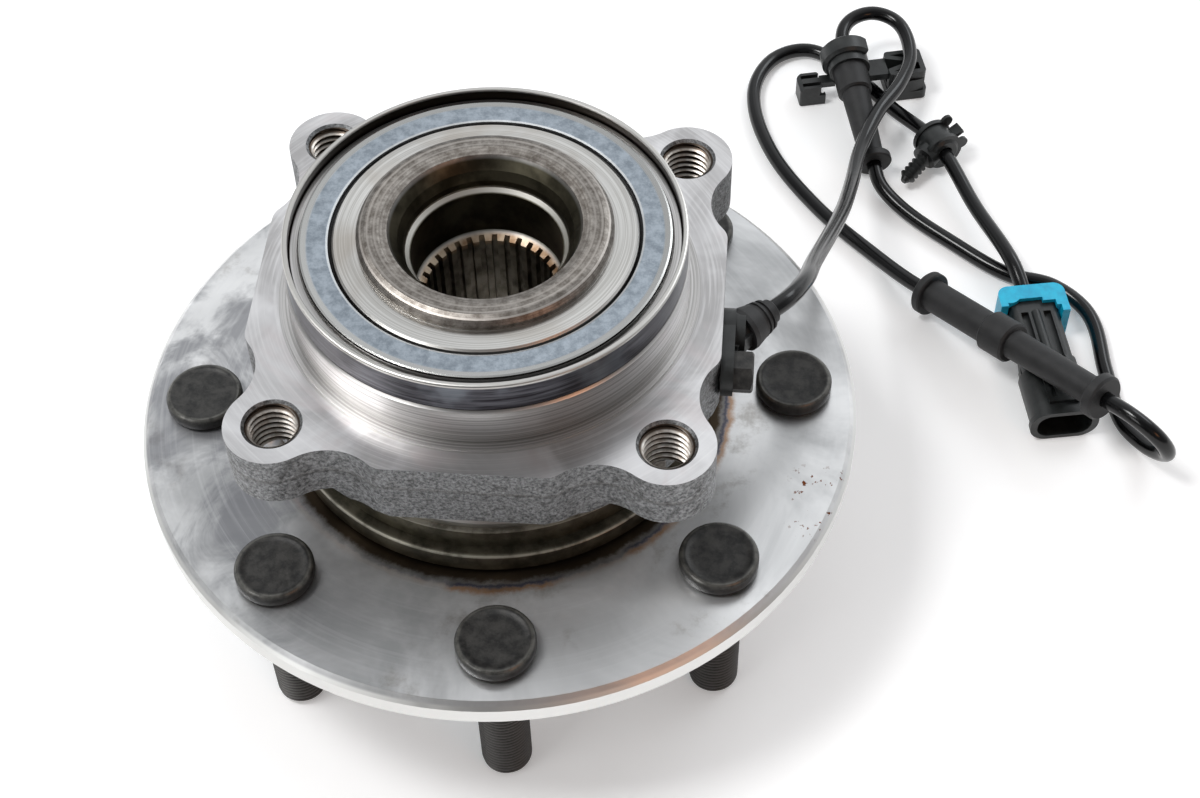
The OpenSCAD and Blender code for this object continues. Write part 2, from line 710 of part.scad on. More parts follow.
module sensor_body() {
    color([0.13, 0.13, 0.13]) difference() {
        union() {
            sensor_plate();
            sensor_head();
            at_sensor() rotate_extrude() polygon([
                [0, eps], [probe_r, eps], [probe_r, o_ring_z + 1.3], [probe_r - 1.1, o_ring_z + 1.3],
                [probe_r - 1.1, o_ring_z - 1.3], [probe_r, o_ring_z - 1.3],
                [probe_r, nose_x - half_w + 0.6], [probe_r - 0.6, nose_x - half_w],
                [0, nose_x - half_w]]);
        }
        at_sensor() translate([0, 0, nose_x - half_w - 1]) cylinder(r = pole_r, h = 4);
        at_boot() translate([0, 0, 1]) cylinder(r = lead_r + lead_gap, h = stub_len);
    }
}

module sensor_tip() {
    color("silver") at_sensor() translate([0, 0, pole_x - half_w])
        cylinder(r = pole_r, h = nose_x + 3 - pole_x);
}

module sensor_o_ring() {
    color([0.08, 0.08, 0.08]) at_sensor() translate([0, 0, o_ring_z]) rotate_extrude()
        translate([probe_r + probe_gap - o_ring_t, 0]) circle(o_ring_t);
}

module sensor_screw() {
    color([0.15, 0.15, 0.15]) at_sensor_screw() {
        translate([0, 0, sensor_plate_t - screw_len]) rotate_extrude() polygon([
            [0, 0], [screw_r - 0.8, 0], [screw_r, 0.8], [screw_r, screw_len], [0, screw_len]]);
        translate([0, 0, sensor_plate_t]) intersection() {
            rotate(30) cylinder(d = screw_af / cos(30), h = screw_head_h, $fn = 6);
            rotate_extrude() polygon([
                [0, 0], [screw_af * 0.6, 0], [screw_af * 0.6, screw_head_h - 0.8],
                [screw_af * 0.47, screw_head_h], [0, screw_head_h]]);
        }
    }
}

// A rubber boot over the head's stub, tapering in steps to the lead
module sensor_boot() {
    behind = 2 * boot_len + 2 * boot_base_r;
    color([0.1, 0.1, 0.1]) difference() {
        at_boot() difference() {
            rotate_extrude() polygon([
                [0, 1.6], [boot_base_r, 1.6], [boot_base_r, 3], [boot_base_r - 0.9, boot_len - 6],
                [boot_base_r - 0.9, boot_len - 5.5], [boot_base_r - 1.5, boot_len - 5.3],
                [boot_base_r - 1.5, boot_len - 4.8], [boot_tip_r + 1.5, boot_len - 4.6],
                [boot_tip_r + 1.4, boot_len - 3.9], [boot_tip_r + 0.6, boot_len - 3.7],
                [boot_tip_r + 0.6, boot_len - 3.1], [boot_tip_r + 1.1, boot_len - 2.9],
                [boot_tip_r + 1, boot_len - 2.2],
                [boot_tip_r + 0.2, boot_len - 1.8], [boot_tip_r, boot_len - 0.3],
                [boot_tip_r - 0.3, boot_len], [0, boot_len]]);
            translate([0, 0, -1]) cylinder(r = lead_r + lead_gap, h = boot_len + 2);
        }
        sensor_head();
        translate([half_w + sensor_plate_t - behind, sensor_y - behind / 2, sensor_z - behind / 2])
            cube(behind);
    }
}

// Lead: it drops from the sensor, passes through both grommets and ends in the connector.
// Each point is given as x, y and height over the surface that the part stands on.
lead_points = [
    [71, -0.5, 95.5], [76.5, 5, 95.5], [82.6, 16.4, 91.6], [86, 35, 79.5], [96.5, 92, 40], [101, 121, 24],
    [104.5, 144, 16.8], [110.5, 163, 16], [118.5, 179, 15.5], [122, 193.5, 15], [118.2, 207.4, 16.6],
    [109, 211.9, 17.4], [100.1, 207, 16.8], [98.5, 197, 15.3], [111, 142.8, 5.4], [119, 131, 3.2],
    [137, 115.5, 2.6], [153.5, 103.5, 2.6], [168.5, 99, 2.6], [179.2, 87, 2.6], [182.6, 64, 2.7],
    [186, 44.1, 3], [192.3, 32.9, 5.4], [196, 24.2, 13.9], [190.6, 23.4, 23.5], [181, 31.1, 25.4],
    [123.7, 92.3, 7.1], [110, 108.3, 3.5], [91, 129.5, 2.7], [75, 155, 2.6], [68, 182, 2.6],
    [73.5, 200.8, 2.6], [86.4, 207.5, 2.6], [99.6, 199.6, 2.7], [117, 177.5, 4], [131.5, 157, 8],
    [143.5, 129, 7], [154, 104, 9], [158.4, 90, 6.4], [159.9, 81.8, 6.4]];
// The stretches that run straight: in the boot, the two grommets and the connector
lead_held = [0, 13, 25, 38];
lead_sides = 10;
lead_steps = 2;

route = [for (p = lead_points) [p.x, p.y, p.z + floor_z]];
route_end = len(route) - 1;

function route_dir(i) =
    let (held = [for (k = lead_held) if (i == k || i == k + 1) unit(route[k + 1] - route[k])])
    len(held) > 0 ? held[0] : unit(route[i + 1] - route[i - 1]);

// A point of the smooth curve through the route, at share t of stretch i
function route_point(i, t) =
    let (d = norm(route[i + 1] - route[i]))
    (2 * pow(t, 3) - 3 * pow(t, 2) + 1) * route[i] + (pow(t, 3) - 2 * pow(t, 2) + t) * d * route_dir(i)
    + (3 * pow(t, 2) - 2 * pow(t, 3)) * route[i + 1] + (pow(t, 3) - pow(t, 2)) * d * route_dir(i + 1);

lead_curve = concat([for (i = [0:route_end - 1], k = [0:lead_steps - 1]) route_point(i, k / lead_steps)],
    [route[route_end]]);

// Side directions that follow the curve without twisting
function sideways(points, i, side) =
    i == len(points) ? [] :
    let (along = unit(points[min(i + 1, len(points) - 1)] - points[max(i - 1, 0)]),
         next = unit(side - (side * along) * along))
    concat([[along, next]], sideways(points, i + 1, next));

module lead_cable() {
    frames = sideways(lead_curve, 0, [0, 0, 1]);
    rings = len(lead_curve);
    points = [for (i = [0:rings - 1], j = [0:lead_sides - 1])
        let (a = j * 360 / lead_sides)
        lead_curve[i] + lead_r * (cos(a) * frames[i][1] + sin(a) * cross(frames[i][0], frames[i][1]))];
    walls = [for (i = [0:rings - 2], j = [0:lead_sides - 1])
        let (a = i * lead_sides + j, b = i * lead_sides + (j + 1) % lead_sides)
        each [[a, a + lead_sides, b], [b, a + lead_sides, b + lead_sides]]];
    ends = [[for (j = [0:lead_sides - 1]) j],
            [for (j = [lead_sides - 1:-1:0]) (rings - 1) * lead_sides + j]];
    color([0.06, 0.06, 0.06]) polyhedron(points, concat(walls, ends));
}

// Grommets, threaded on the lead

grommet_a_top = route[13];
grommet_a_dir = unit(route[14] - route[13]);
grommet_b_start = route[26];
grommet_b_dir = unit(route[25] - route[26]);
hole_r = lead_r + lead_gap;
grommet_a_z = 3.5;
neck_a_z = grommet_a_z + disc_t;
grommet_b_z = 4;

head_a_r = grommet_a_r + 0.9;

module grommet_a() {
    collar_z = neck_a_z + bracket_w;
    body_z = collar_z + collar_a_len;
    end = grommet_a_z + grommet_a_len;
    head_r = head_a_r;
    color([0.1, 0.1, 0.1]) along(grommet_a_top, grommet_a_dir) rotate_extrude() polygon([
        [hole_r, grommet_a_z], [head_r - 0.4, grommet_a_z], [head_r, grommet_a_z + 0.5],
        [head_r, neck_a_z - 0.5], [head_r - 0.4, neck_a_z], [neck_a_r, neck_a_z],
        [neck_a_r, collar_z], [collar_a_r, collar_z], [collar_a_r, body_z - 0.6],
        [collar_a_r - 0.6, body_z], [neck_a_r + 0.3, body_z + 0.2], [neck_a_r - 0.5, end - disc_t],
        [grommet_a_r - 0.3, end - disc_t + 0.2], [grommet_a_r, end - disc_t + 0.6],
        [grommet_a_r, end - 0.4], [grommet_a_r - 0.4, end], [hole_r, end]]);
}

module grommet_b() {
    end = grommet_b_z + grommet_b_len;
    collar_z = grommet_b_z + (grommet_b_len - collar_b_len) * 0.43;
    body_z = collar_z + collar_b_len;
    near_r = tube_b_r + 0.2;
    far_r = tube_b_r - 0.2;
    color([0.1, 0.1, 0.1]) along(grommet_b_start, grommet_b_dir) rotate_extrude() polygon([
        [hole_r, grommet_b_z], [grommet_b_r - 0.4, grommet_b_z], [grommet_b_r, grommet_b_z + 0.4],
        [grommet_b_r, grommet_b_z + disc_t - 0.4], [grommet_b_r - 0.4, grommet_b_z + disc_t],
        [near_r, grommet_b_z + disc_t], [near_r, collar_z - 0.6], [collar_b_r - 0.5, collar_z],
        [collar_b_r, collar_z + 0.6], [collar_b_r, body_z - 0.6], [collar_b_r - 0.6, body_z],
        [far_r, body_z + 0.2], [far_r - 0.2, end - disc_t - 0.8], [grommet_b_r - 0.4, end - disc_t - 0.8],
        [grommet_b_r, end - disc_t - 0.4], [grommet_b_r, end - 0.8], [grommet_b_r - 0.6, end],
        [hole_r, end]]);
}

// A moulded clip round the first grommet's neck, with a slotted block on one arm and a ribbed
// one on the other
clip_centre = grommet_a_top + (neck_a_z + bracket_w / 2) * grommet_a_dir;
clip_turn = atan2(grommet_a_dir.x, -grommet_a_dir.y);
ribbed_block = [13, 12, 12.2];
slotted_block = [7.6, 8, 8.4];
ribbed_x = 20.5;
slotted_x = -13.6;
arm_w = 8;

module at_clip() {
    translate([clip_centre.x, clip_centre.y, floor_z]) rotate(clip_turn) children();
}

// An open-topped block whose walls carry ribs that run to the middle of its far side, with a
// stepped skirt and a bowed front
module ribbed_box() {
    w = ribbed_block.x;
    d = ribbed_block.y;
    skirt = 0.8;
    bow_r = 22;
    difference() {
        union() {
            translate([0, 0, 0.3]) linear_extrude(ribbed_block.z - 0.3) rounded(w, d, 1.4);
            translate([0.3, 0, 0.3]) linear_extrude(ribbed_block.z * 0.3)
                rounded(w + 2 * skirt - 0.6, d + 2 * skirt, 1.8);
            translate([0, 0, 0.3]) linear_extrude(ribbed_block.z * 0.72) intersection() {
                translate([0, bow_r - d / 2 - skirt]) circle(bow_r);
                square([w - 1, d + 2 * skirt], center = true);
            }
        }
        translate([0, 0, ribbed_block.z - 7]) linear_extrude(8) {
            polygon([[-w / 2 - 1, 3], [-w / 2 - 1, -3], [1.5, 0]]);
            polygon([[-w / 2 + bracket_t, d / 2 - bracket_t], [3, 1.2],
                     [w / 2 - bracket_t, 0.9], [w / 2 - bracket_t, d / 2 - bracket_t]]);
            polygon([[-w / 2 + bracket_t, bracket_t - d / 2], [3, -1.2],
                     [w / 2 - bracket_t, -0.9], [w / 2 - bracket_t, bracket_t - d / 2]]);
        }
    }
}

// A block with two slots open towards the ring, a hooked foot and a lead-in on its outer wall
module slotted_box() {
    w = slotted_block.x;
    d = slotted_block.y;
    difference() {
        union() {
            translate([0, 0, 0.3]) linear_extrude(slotted_block.z - 0.3) rounded(w, d, 1);
            translate([0, -d / 2, 0.3]) linear_extrude(slotted_block.z * 0.5)
                polygon([[0, 0], [w / 2 + 1.6, 0], [w / 2 + 1.6, 1.4], [w / 2 + 0.6, 2.6], [0, 2.6]]);
        }
        for (y = [-2, 2]) translate([-w / 2 + 1.2, y - 0.8, slotted_block.z - 5]) cube([w, 1.6, 6]);
        translate([-w / 2, -d, slotted_block.z]) rotate([0, 45, 0])
            translate([-1, 0, -1]) cube([2, 2 * d, 2]);
    }
}

// A half-round wall that stands over the grommet's head, on its upper outer side
module head_guard() {
    inner = head_a_r + guard_gap;
    outer = inner + 0.75 * bracket_t;
    rotate_extrude() polygon([
        [neck_a_r + 1, 0], [inner, 0], [inner, -guard_len], [outer - 0.4, -guard_len],
        [outer, 0.4 - guard_len], [outer, 1.2], [outer - 1, 2.2], [neck_a_r + 1, 2.2]]);
}

module bracket_clip() {
    outer = neck_a_r + 2.6;
    arm_z = 8.6;
    guard_turn = 40;
    color([0.15, 0.15, 0.15]) difference() {
        union() {
            along(clip_centre - bracket_w / 2 * grommet_a_dir, grommet_a_dir) {
                cylinder(r = outer, h = bracket_w);
                difference() {
                    head_guard();
                    rotate(guard_turn) translate([0, -2 * outer, -2 * bracket_w])
                        cube([2 * outer, 4 * outer, 4 * bracket_w]);
                }
            }
            at_clip() {
                translate([ribbed_x, 0, 0]) ribbed_box();
                translate([slotted_x, 0, 0]) slotted_box();
                translate([neck_a_r, -arm_w / 2, arm_z])
                    cube([ribbed_x - ribbed_block.x / 2 - neck_a_r + eps, arm_w, 2.6]);
                translate([slotted_x + slotted_block.x / 2 - eps, -arm_w / 4, 6.2])
                    cube([-neck_a_r - slotted_x - slotted_block.x / 2, arm_w / 2, 2.2]);
            }
        }
        along(clip_centre - 10 * grommet_a_dir, grommet_a_dir)
            cylinder(r = neck_a_r, h = 20);
        for (side = [-1, 1]) along(clip_centre + side * bracket_w / 2 * grommet_a_dir, side * grommet_a_dir)
            cylinder(r = head_a_r + 0.1, h = 6);
    }
}

// A hinged clip on the lead with a push-in stem of stacked fins, a hinge lug and a release tab
fir_centre = route[35];
fir_dir = unit(route[36] - route[34]);
stem_dir = [-0.6, -0.78, -0.2];
fin_pitch = 2;

module clip_lug() {
    linear_extrude(1.2) {
        circle(2);
        translate([0, -2]) square([2.4, 4]);
    }
}

module fir_tree_clip() {
    color([0.12, 0.12, 0.12]) difference() {
        union() {
            along(fir_centre - clip_body_len / 2 * fir_dir, fir_dir) {
                rotate_extrude() polygon([
                    [hole_r - 1, 0], [clip_body_r - 1.6, 0], [clip_body_r - 0.6, 0.8],
                    [clip_body_r + 0.8, 0.8], [clip_body_r + 0.8, 2.4], [clip_body_r, 2.4],
                    [clip_body_r, clip_body_len - 2.4], [clip_body_r + 0.8, clip_body_len - 2.4],
                    [clip_body_r + 0.8, clip_body_len - 0.8], [clip_body_r - 0.6, clip_body_len - 0.8],
                    [clip_body_r - 1.6, clip_body_len], [hole_r - 1, clip_body_len]]);
                rotate(-45) translate([-clip_body_r - 1.6, 0, 1]) clip_lug();
                rotate(-80) translate([-clip_body_r - 1.2, 0, clip_body_len - 2.2]) clip_lug();
                rotate(-65) translate([-clip_body_r - tab_stand, -0.7, 3.4])
                    cube([tab_stand + 1, 1.4, 4.2]);
            }
            along(fir_centre, stem_dir) {
                cylinder(r = 4.4, h = clip_body_r + 1.6);
                rotate_extrude() polygon([
                    [0, 0], [stem_r, 0], [stem_r, clip_body_r + stem_len],
                    [0.6 * stem_r, clip_body_r + stem_len + 1.2], [0, clip_body_r + stem_len + 1.2]]);
                for (i = [1:floor((stem_len - 2) / fin_pitch)])
                    translate([0, 0, clip_body_r + 0.6 + i * fin_pitch])
                    cylinder(r1 = stem_r + 1.2, r2 = stem_r - 0.2, h = 1.4);
            }
        }
        along(fir_centre - clip_body_len * fir_dir, fir_dir) cylinder(r = hole_r, h = 2 * clip_body_len);
    }
}

// Connector, lying on its side walls; it is drawn with its mouth towards +Y

plug_axis = 6.4;
plug_dir = unit(route[route_end] - route[route_end - 1]);
plug_turn = atan2(-plug_dir.x, plug_dir.y);
plug_rear = [158.8, 87.7];
seal_len = 6.4;
taper_len = 4;
cavity_y = plug_len - mouth_deep;
groove_deep = 1.6;

module at_plug() {
    translate([plug_rear.x, plug_rear.y, floor_z + plug_axis]) rotate(plug_turn) children();
}

// Draws an outline's extrusion along the connector from y to y + h
module plug_run(y, h) {
    translate([0, y, 0]) rotate([-90, 0, 0]) linear_extrude(h) children();
}

// A latch tongue, cut free on three sides in a raised pad over the mouth
module latch_cut(w, l, slot, deep) {
    for (x = [-1, 1]) translate([x * (w - slot) / 2 - slot / 2, 0, 0]) cube([slot, l, deep]);
    translate([-w / 2, 0, 0]) cube([w, slot, deep]);
}

module connector_body() {
    shell_y = cavity_y - 6;
    ribs_y = 8;
    pad = [9.6, 9, 1.2];
    color([0.13, 0.13, 0.13]) at_plug() difference() {
        union() {
            plug_run(0, cavity_y) rounded(rear_w, rear_h, 2);
            plug_run(shell_y, taper_len) rounded((rear_w + mouth_w) / 2, (rear_h + mouth_h) / 2, 4);
            plug_run(shell_y + taper_len - eps, plug_len - shell_y - taper_len + eps)
                rounded(mouth_w, mouth_h, 5.6);
            plug_run(plug_len - 2, 2) rounded(mouth_w + 2 * rim_out, mouth_h, 5.9);
            plug_run(ribs_y, shell_y - ribs_y + 1) translate([0, 0.4 - rear_h / 2]) circle(rib_r_top);
            for (x = [-1, 1]) translate([0, 0, -plug_web / 2]) linear_extrude(plug_web) polygon([
                [x * (rear_w / 2 - 1), shell_y - 9], [x * (rear_w / 2), shell_y - 9],
                [x * (mouth_w / 2 - 0.4), shell_y + taper_len + 2],
                [x * (rear_w / 2 - 1), shell_y + taper_len + 2]]);
            translate([-pad.x / 2, plug_len - pad.y - 4, 0]) cube([pad.x, pad.y, mouth_h / 2 + pad.z]);
        }
        plug_run(cavity_y, mouth_deep + 1)
            rounded(mouth_w - 2 * mouth_wall, mouth_h - 2 * mouth_wall, 4.2);
        plug_run(-1, seal_len + 1) circle(lead_r + 2);
        for (x = [-1, 1]) translate([x * 3.6 - 1.2, ribs_y, rear_h / 2 - groove_deep])
            cube([2.4, shell_y - ribs_y + 1, 2 * groove_deep]);
        translate([0, plug_len - pad.y - 2.6, mouth_h / 2 - 0.3]) latch_cut(pad.x - 2.6, 6, 1.3, 2 * pad.z);
        for (x = [-1, 1]) translate([x * blade_pitch / 2 - blade_w / 2, seal_len + 8, -blade_t / 2])
            cube([blade_w, plug_len, blade_t]);
    }
}

module connector_terminals() {
    color("gold") at_plug() for (x = [-1, 1])
        translate([x * blade_pitch / 2 - blade_w / 2, seal_len + 8, -blade_t / 2])
        cube([blade_w, plug_len - seal_len - 8 - 6, blade_t]);
}

module connector_seal() {
    color([0.3, 0.5, 0.3]) at_plug() plug_run(0.4, seal_len - 0.4) difference() {
        circle(lead_r + 2);
        circle(hole_r);
    }
}

// A sliding lock round the connector's rear: a back wall notched for the lead, two legs, and a
// stepped edge with a tooth that shows when it is home
module connector_lock() {
    back = 2;
    bar = 3.6;
    corner = 3.5;
    leg = 2.4;
    low = plug_axis - 0.3;
    high = rear_h / 2 + lock_gap + lock_t;
    color("deepskyblue") at_plug() difference() {
        translate([0, 0, -low]) linear_extrude(low + high) {
            translate([-lock_w / 2 + corner, -back]) square([lock_w - 2 * corner, back + bar]);
            translate([-lock_w / 2, -back + corner]) square([lock_w, back + bar - corner]);
            for (x = [-1, 1]) translate([x * (lock_w / 2 - corner), -back + corner]) circle(corner);
            translate([lock_w / 2 - leg, bar - 1]) square([leg, 3.6]);
            translate([-lock_w / 2, bar - 1]) {
                square([leg, 7.2]);
                square([leg + 1.4, 4.6]);
                square([leg + 5.4, 2.4]);
            }
        }
        plug_run(-lock_gap, plug_len) rounded(rear_w + 2 * lock_gap, rear_h + 2 * lock_gap, 2);
        translate([-lead_r - 1, -10, -2 * low]) cube([2 * lead_r + 2, 20, 2 * low + lead_r + 1]);
    }
}

wheel_hub();
wheel_studs();
inboard_inner_ring();
outboard_inner_ring();
tone_ring();
outboard_slinger();
inboard_rollers();
inboard_cage();
outboard_rollers();
outboard_cage();
outer_ring();
barrel_sleeve();
inboard_seal_case();
inboard_seal_lip();
outboard_shield();
outboard_seal_case();
outboard_seal_lip();
sensor_body();
sensor_tip();
sensor_o_ring();
sensor_screw();
sensor_boot();
lead_cable();
grommet_a();
bracket_clip();
fir_tree_clip();
grommet_b();
connector_body();
connector_terminals();
connector_seal();
connector_lock();
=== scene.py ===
"""A wheel hub bearing with its speed sensor and lead, dressed and lit for one studio view.

Objects are in metres in the part's own frame: +Z runs along the bearing's axis, away from the
studs. Measures and materials are in millimetres, so their numbers read like a drawing's.
"""
import math

import bmesh
import bpy
from mathutils import Matrix, Vector


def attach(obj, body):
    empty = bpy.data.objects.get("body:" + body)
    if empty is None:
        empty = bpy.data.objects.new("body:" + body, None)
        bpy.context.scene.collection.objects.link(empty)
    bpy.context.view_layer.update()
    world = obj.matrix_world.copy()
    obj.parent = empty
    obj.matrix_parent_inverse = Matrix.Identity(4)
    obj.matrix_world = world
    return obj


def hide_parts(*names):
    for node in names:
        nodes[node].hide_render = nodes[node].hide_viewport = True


MM = 0.001

# The part's own measures: radii and heights, and the turn of the first stud in degrees
FLOOR = -44.5
FLANGE_R = 100
FLANGE_FACE = 12
STUDS = 8
STUD_CIRCLE_R = 82.55
STUD_TURN = 5.5
FUNNEL_R = 24.7
FUNNEL_FOOT = 59
BORE_R = 19.9
SPLINE_TOP = 58.8
ROLLED_END = 79.6
ROLLED_EDGE_R = 35
EAR_HALF = 49.5
EAR_HOLE_R = 7
EAR_FACE = 59.2
LEAD_R = 2.45

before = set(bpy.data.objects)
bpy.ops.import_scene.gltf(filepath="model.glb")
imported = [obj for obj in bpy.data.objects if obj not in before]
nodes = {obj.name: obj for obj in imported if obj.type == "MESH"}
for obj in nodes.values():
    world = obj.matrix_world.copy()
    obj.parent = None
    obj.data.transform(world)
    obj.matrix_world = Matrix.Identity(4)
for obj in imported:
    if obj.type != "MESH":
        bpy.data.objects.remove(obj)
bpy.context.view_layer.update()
scene = bpy.context.scene


# Camera: solved from the circles of the flange, the barrel and the ear holes

def place_camera():
    """A 61.5 mm lens looking down on the part from the front, a little to its right."""
    right = Vector((0.996896, 0.077110, -0.015887))
    up = Vector((-0.050877, 0.784968, 0.617444))
    ahead = Vector((-0.060081, 0.614719, -0.786455))
    turn = Matrix((right, up, -ahead)).transposed().to_4x4()
    data = bpy.data.cameras.new("camera")
    data.lens = 61.5
    data.sensor_width = 36
    data.sensor_fit = "HORIZONTAL"
    data.clip_start = 0.01
    camera = bpy.data.objects.new("camera", data)
    scene.collection.objects.link(camera)
    camera.matrix_world = Matrix.Translation(Vector((62.8, -353.2, 464.6)) * MM) @ turn
    scene.camera = camera


place_camera()


# Node graphs

def tone(red, green, blue):
    """A colour picked on a 0-255 scale, as linear light."""
    channels = []
    for value in (red, green, blue):
        value /= 255
        channels.append(value / 12.92 if value <= 0.04045 else ((value + 0.055) / 1.055) ** 2.4)
    return (*channels, 1)


class Graph:
    """A node tree under construction. Its calls take numbers or sockets and return sockets."""

    def __init__(self, tree):
        self.tree = tree

    def feed(self, socket, value):
        if isinstance(value, bpy.types.NodeSocket):
            self.tree.links.new(value, socket)
        elif value is not None:
            socket.default_value = value

    def node(self, kind, *values, **settings):
        """Adds a node with these settings and feeds the sockets that they leave open, in order."""
        made = self.tree.nodes.new(kind)
        for key, value in settings.items():
            setattr(made, key, value)
        for socket, value in zip([s for s in made.inputs if s.enabled], values):
            self.feed(socket, value)
        return made

    def calc(self, operation, a, b=None):
        return self.node("ShaderNodeMath", a, b, operation=operation).outputs[0]

    def add(self, a, b):
        return self.calc("ADD", a, b)

    def less(self, a, b):
        return self.calc("SUBTRACT", a, b)

    def either(self, a, b):
        return self.calc("MAXIMUM", a, b)

    def times(self, first, *others):
        """The product of numbers and masks, which is 1 where every mask is."""
        for other in others:
            first = self.calc("MULTIPLY", first, other)
        return first

    def length(self, a, b):
        return self.calc("SQRT", self.add(self.times(a, a), self.times(b, b)))

    def join(self, x, y, z):
        return self.node("ShaderNodeCombineXYZ", x, y, z).outputs[0]

    def step(self, value, low, high, start=0.0, end=1.0):
        """Turns smoothly from start to end as value goes from low to high."""
        return self.node("ShaderNodeMapRange", value, low, high, start, end,
                         interpolation_type="SMOOTHSTEP").outputs[0]

    def past(self, value, edge, soft):
        """1 past an edge, turning from 0 over soft on either side."""
        return self.step(value, edge - soft, edge + soft)

    def short_of(self, value, edge, soft):
        """1 short of an edge, turning to 0 over soft on either side."""
        return self.step(value, edge - soft, edge + soft, 1, 0)

    def band(self, value, low, high, soft):
        """1 between low and high, fading out over soft on either side of both."""
        return self.times(self.past(value, low, soft), self.short_of(value, high, soft))

    def noise(self, scale, detail=4, rough=0.55, place=None, warp=0):
        """Cloudy values that crowd round a half. A scale of 0.1 makes clouds about 10 across."""
        texture = self.node("ShaderNodeTexNoise", place)
        texture.inputs["Scale"].default_value = scale
        texture.inputs["Detail"].default_value = detail
        texture.inputs["Roughness"].default_value = rough
        texture.inputs["Distortion"].default_value = warp
        return texture.outputs["Fac"]


class Surface(Graph):
    """A material, which knows where a point lies on the part, in millimetres."""

    def __init__(self, name):
        self.material = bpy.data.materials.new(name)
        self.material.use_nodes = True
        super().__init__(self.material.node_tree)
        self.shader = self.tree.nodes["Principled BSDF"]
        metres = self.node("ShaderNodeTexCoord").outputs["Object"]
        per_metre = (1 / MM, 1 / MM, 1 / MM)
        scaled = self.node("ShaderNodeVectorMath", metres, per_metre, operation="MULTIPLY")
        self.place = scaled.outputs[0]
        self.x, self.y, self.z = self.node("ShaderNodeSeparateXYZ", self.place).outputs
        self.radius = self.length(self.x, self.y)
        self.angle = self.calc("ARCTAN2", self.y, self.x)
        facing = self.node("ShaderNodeNewGeometry").outputs["Normal"]
        self.level = self.node("ShaderNodeSeparateXYZ", facing).outputs[2]

    def noise(self, scale, detail=4, rough=0.55, place=None, warp=0):
        return super().noise(scale, detail, rough, self.place if place is None else place, warp)

    def turned(self, pitch, drift=1.5):
        """Grooves round the axis, pitch apart, each one changing slowly along its length."""
        along = self.times(self.calc("SINE", self.angle), drift)
        out, up = self.calc("DIVIDE", self.radius, pitch), self.calc("DIVIDE", self.z, pitch)
        return self.noise(1, 3, 0.6, self.join(out, along, up))

    def from_stud(self):
        """Distance from the axis of the nearest wheel stud."""
        step = math.radians(360 / STUDS)
        whole_turns = 4 * math.pi
        turn = self.add(self.angle, whole_turns - math.radians(STUD_TURN) + step / 2)
        turn = self.less(self.calc("MODULO", turn, step), step / 2)
        out = self.times(self.radius, self.calc("COSINE", turn))
        side = self.times(self.radius, self.calc("SINE", turn))
        return self.length(self.less(out, STUD_CIRCLE_R), side)

    def from_ear_hole(self):
        """Distance from the axis of the nearest ear hole."""
        across = self.less(self.calc("ABSOLUTE", self.x), EAR_HALF)
        along = self.less(self.calc("ABSOLUTE", self.y), EAR_HALF)
        return self.length(across, along)

    def mix(self, share, a, b):
        """The colour between a and b at share."""
        return self.node("ShaderNodeMix", share, a, b, data_type="RGBA").outputs["Result"]

    def blend(self, share, a, b):
        """The number between a and b at share."""
        return self.node("ShaderNodeMix", share, a, b, data_type="FLOAT").outputs["Result"]

    def shade(self, value, dark, light):
        """A colour between dark and light, by a noise value that crowds round a half."""
        return self.mix(self.step(value, 0.3, 0.7), dark, light)

    def wash(self, under, color, *masks):
        """Lays a colour over another where every mask is 1, and thinly where one is less."""
        return self.mix(self.times(*masks), under, color)

    def bump(self, height, depth, under=None):
        """A normal from a height of 0 to 1, whose full rise is depth in millimetres."""
        made = self.node("ShaderNodeBump")
        made.inputs["Strength"].default_value = 1
        made.inputs["Distance"].default_value = depth * MM
        self.feed(made.inputs["Height"], height)
        self.feed(made.inputs["Normal"], under)
        return made.outputs["Normal"]

    def finish(self, color, rough, metal=0.0, normal=None, brushed=0.0, gloss=0.5):
        """Feeds the shader. A brushed metal's highlights stretch across its turning marks."""
        self.feed(self.shader.inputs["Base Color"], color)
        self.feed(self.shader.inputs["Roughness"], rough)
        self.feed(self.shader.inputs["Metallic"], metal)
        self.feed(self.shader.inputs["Normal"], normal)
        self.feed(self.shader.inputs["Anisotropic"], brushed)
        self.feed(self.shader.inputs["Specular IOR Level"], gloss)
        if brushed:
            tangent = self.node("ShaderNodeTangent", direction_type="RADIAL", axis="Z").outputs[0]
            self.feed(self.shader.inputs["Tangent"], tangent)
        return self.material


# Metals

def rolled_end(g):
    """The hub's end, rolled over the inner ring: grime, cut rings and a bright edge."""
    color = g.shade(g.noise(0.35, 6, 0.72), tone(104, 98, 92), tone(164, 159, 153))
    marks = g.step(g.turned(0.45, 0.4), 0.4, 0.6)
    color = g.wash(color, tone(70, 62, 56), marks, 0.35)
    wave = g.calc("SINE", g.times(g.radius, 3.4))
    rings = g.step(g.times(g.add(wave, 1), 0.5), 0.6, 0.98)
    color = g.wash(color, tone(186, 180, 174), rings, 0.5, g.band(g.radius, 27.5, 34.5, 1.5))
    return g.wash(color, tone(176, 172, 168), g.past(g.radius, ROLLED_EDGE_R, 0.4))


def spline_walls(g):
    """Dull steel deep down, and a rusty wash at the mouth of the teeth."""
    mottle = g.noise(0.2, 4)
    deep = g.shade(mottle, tone(96, 90, 80), tone(156, 150, 138))
    rusty = g.shade(mottle, tone(150, 118, 90), tone(214, 196, 172))
    return g.mix(g.step(g.z, 55.5, 57.2), deep, rusty)


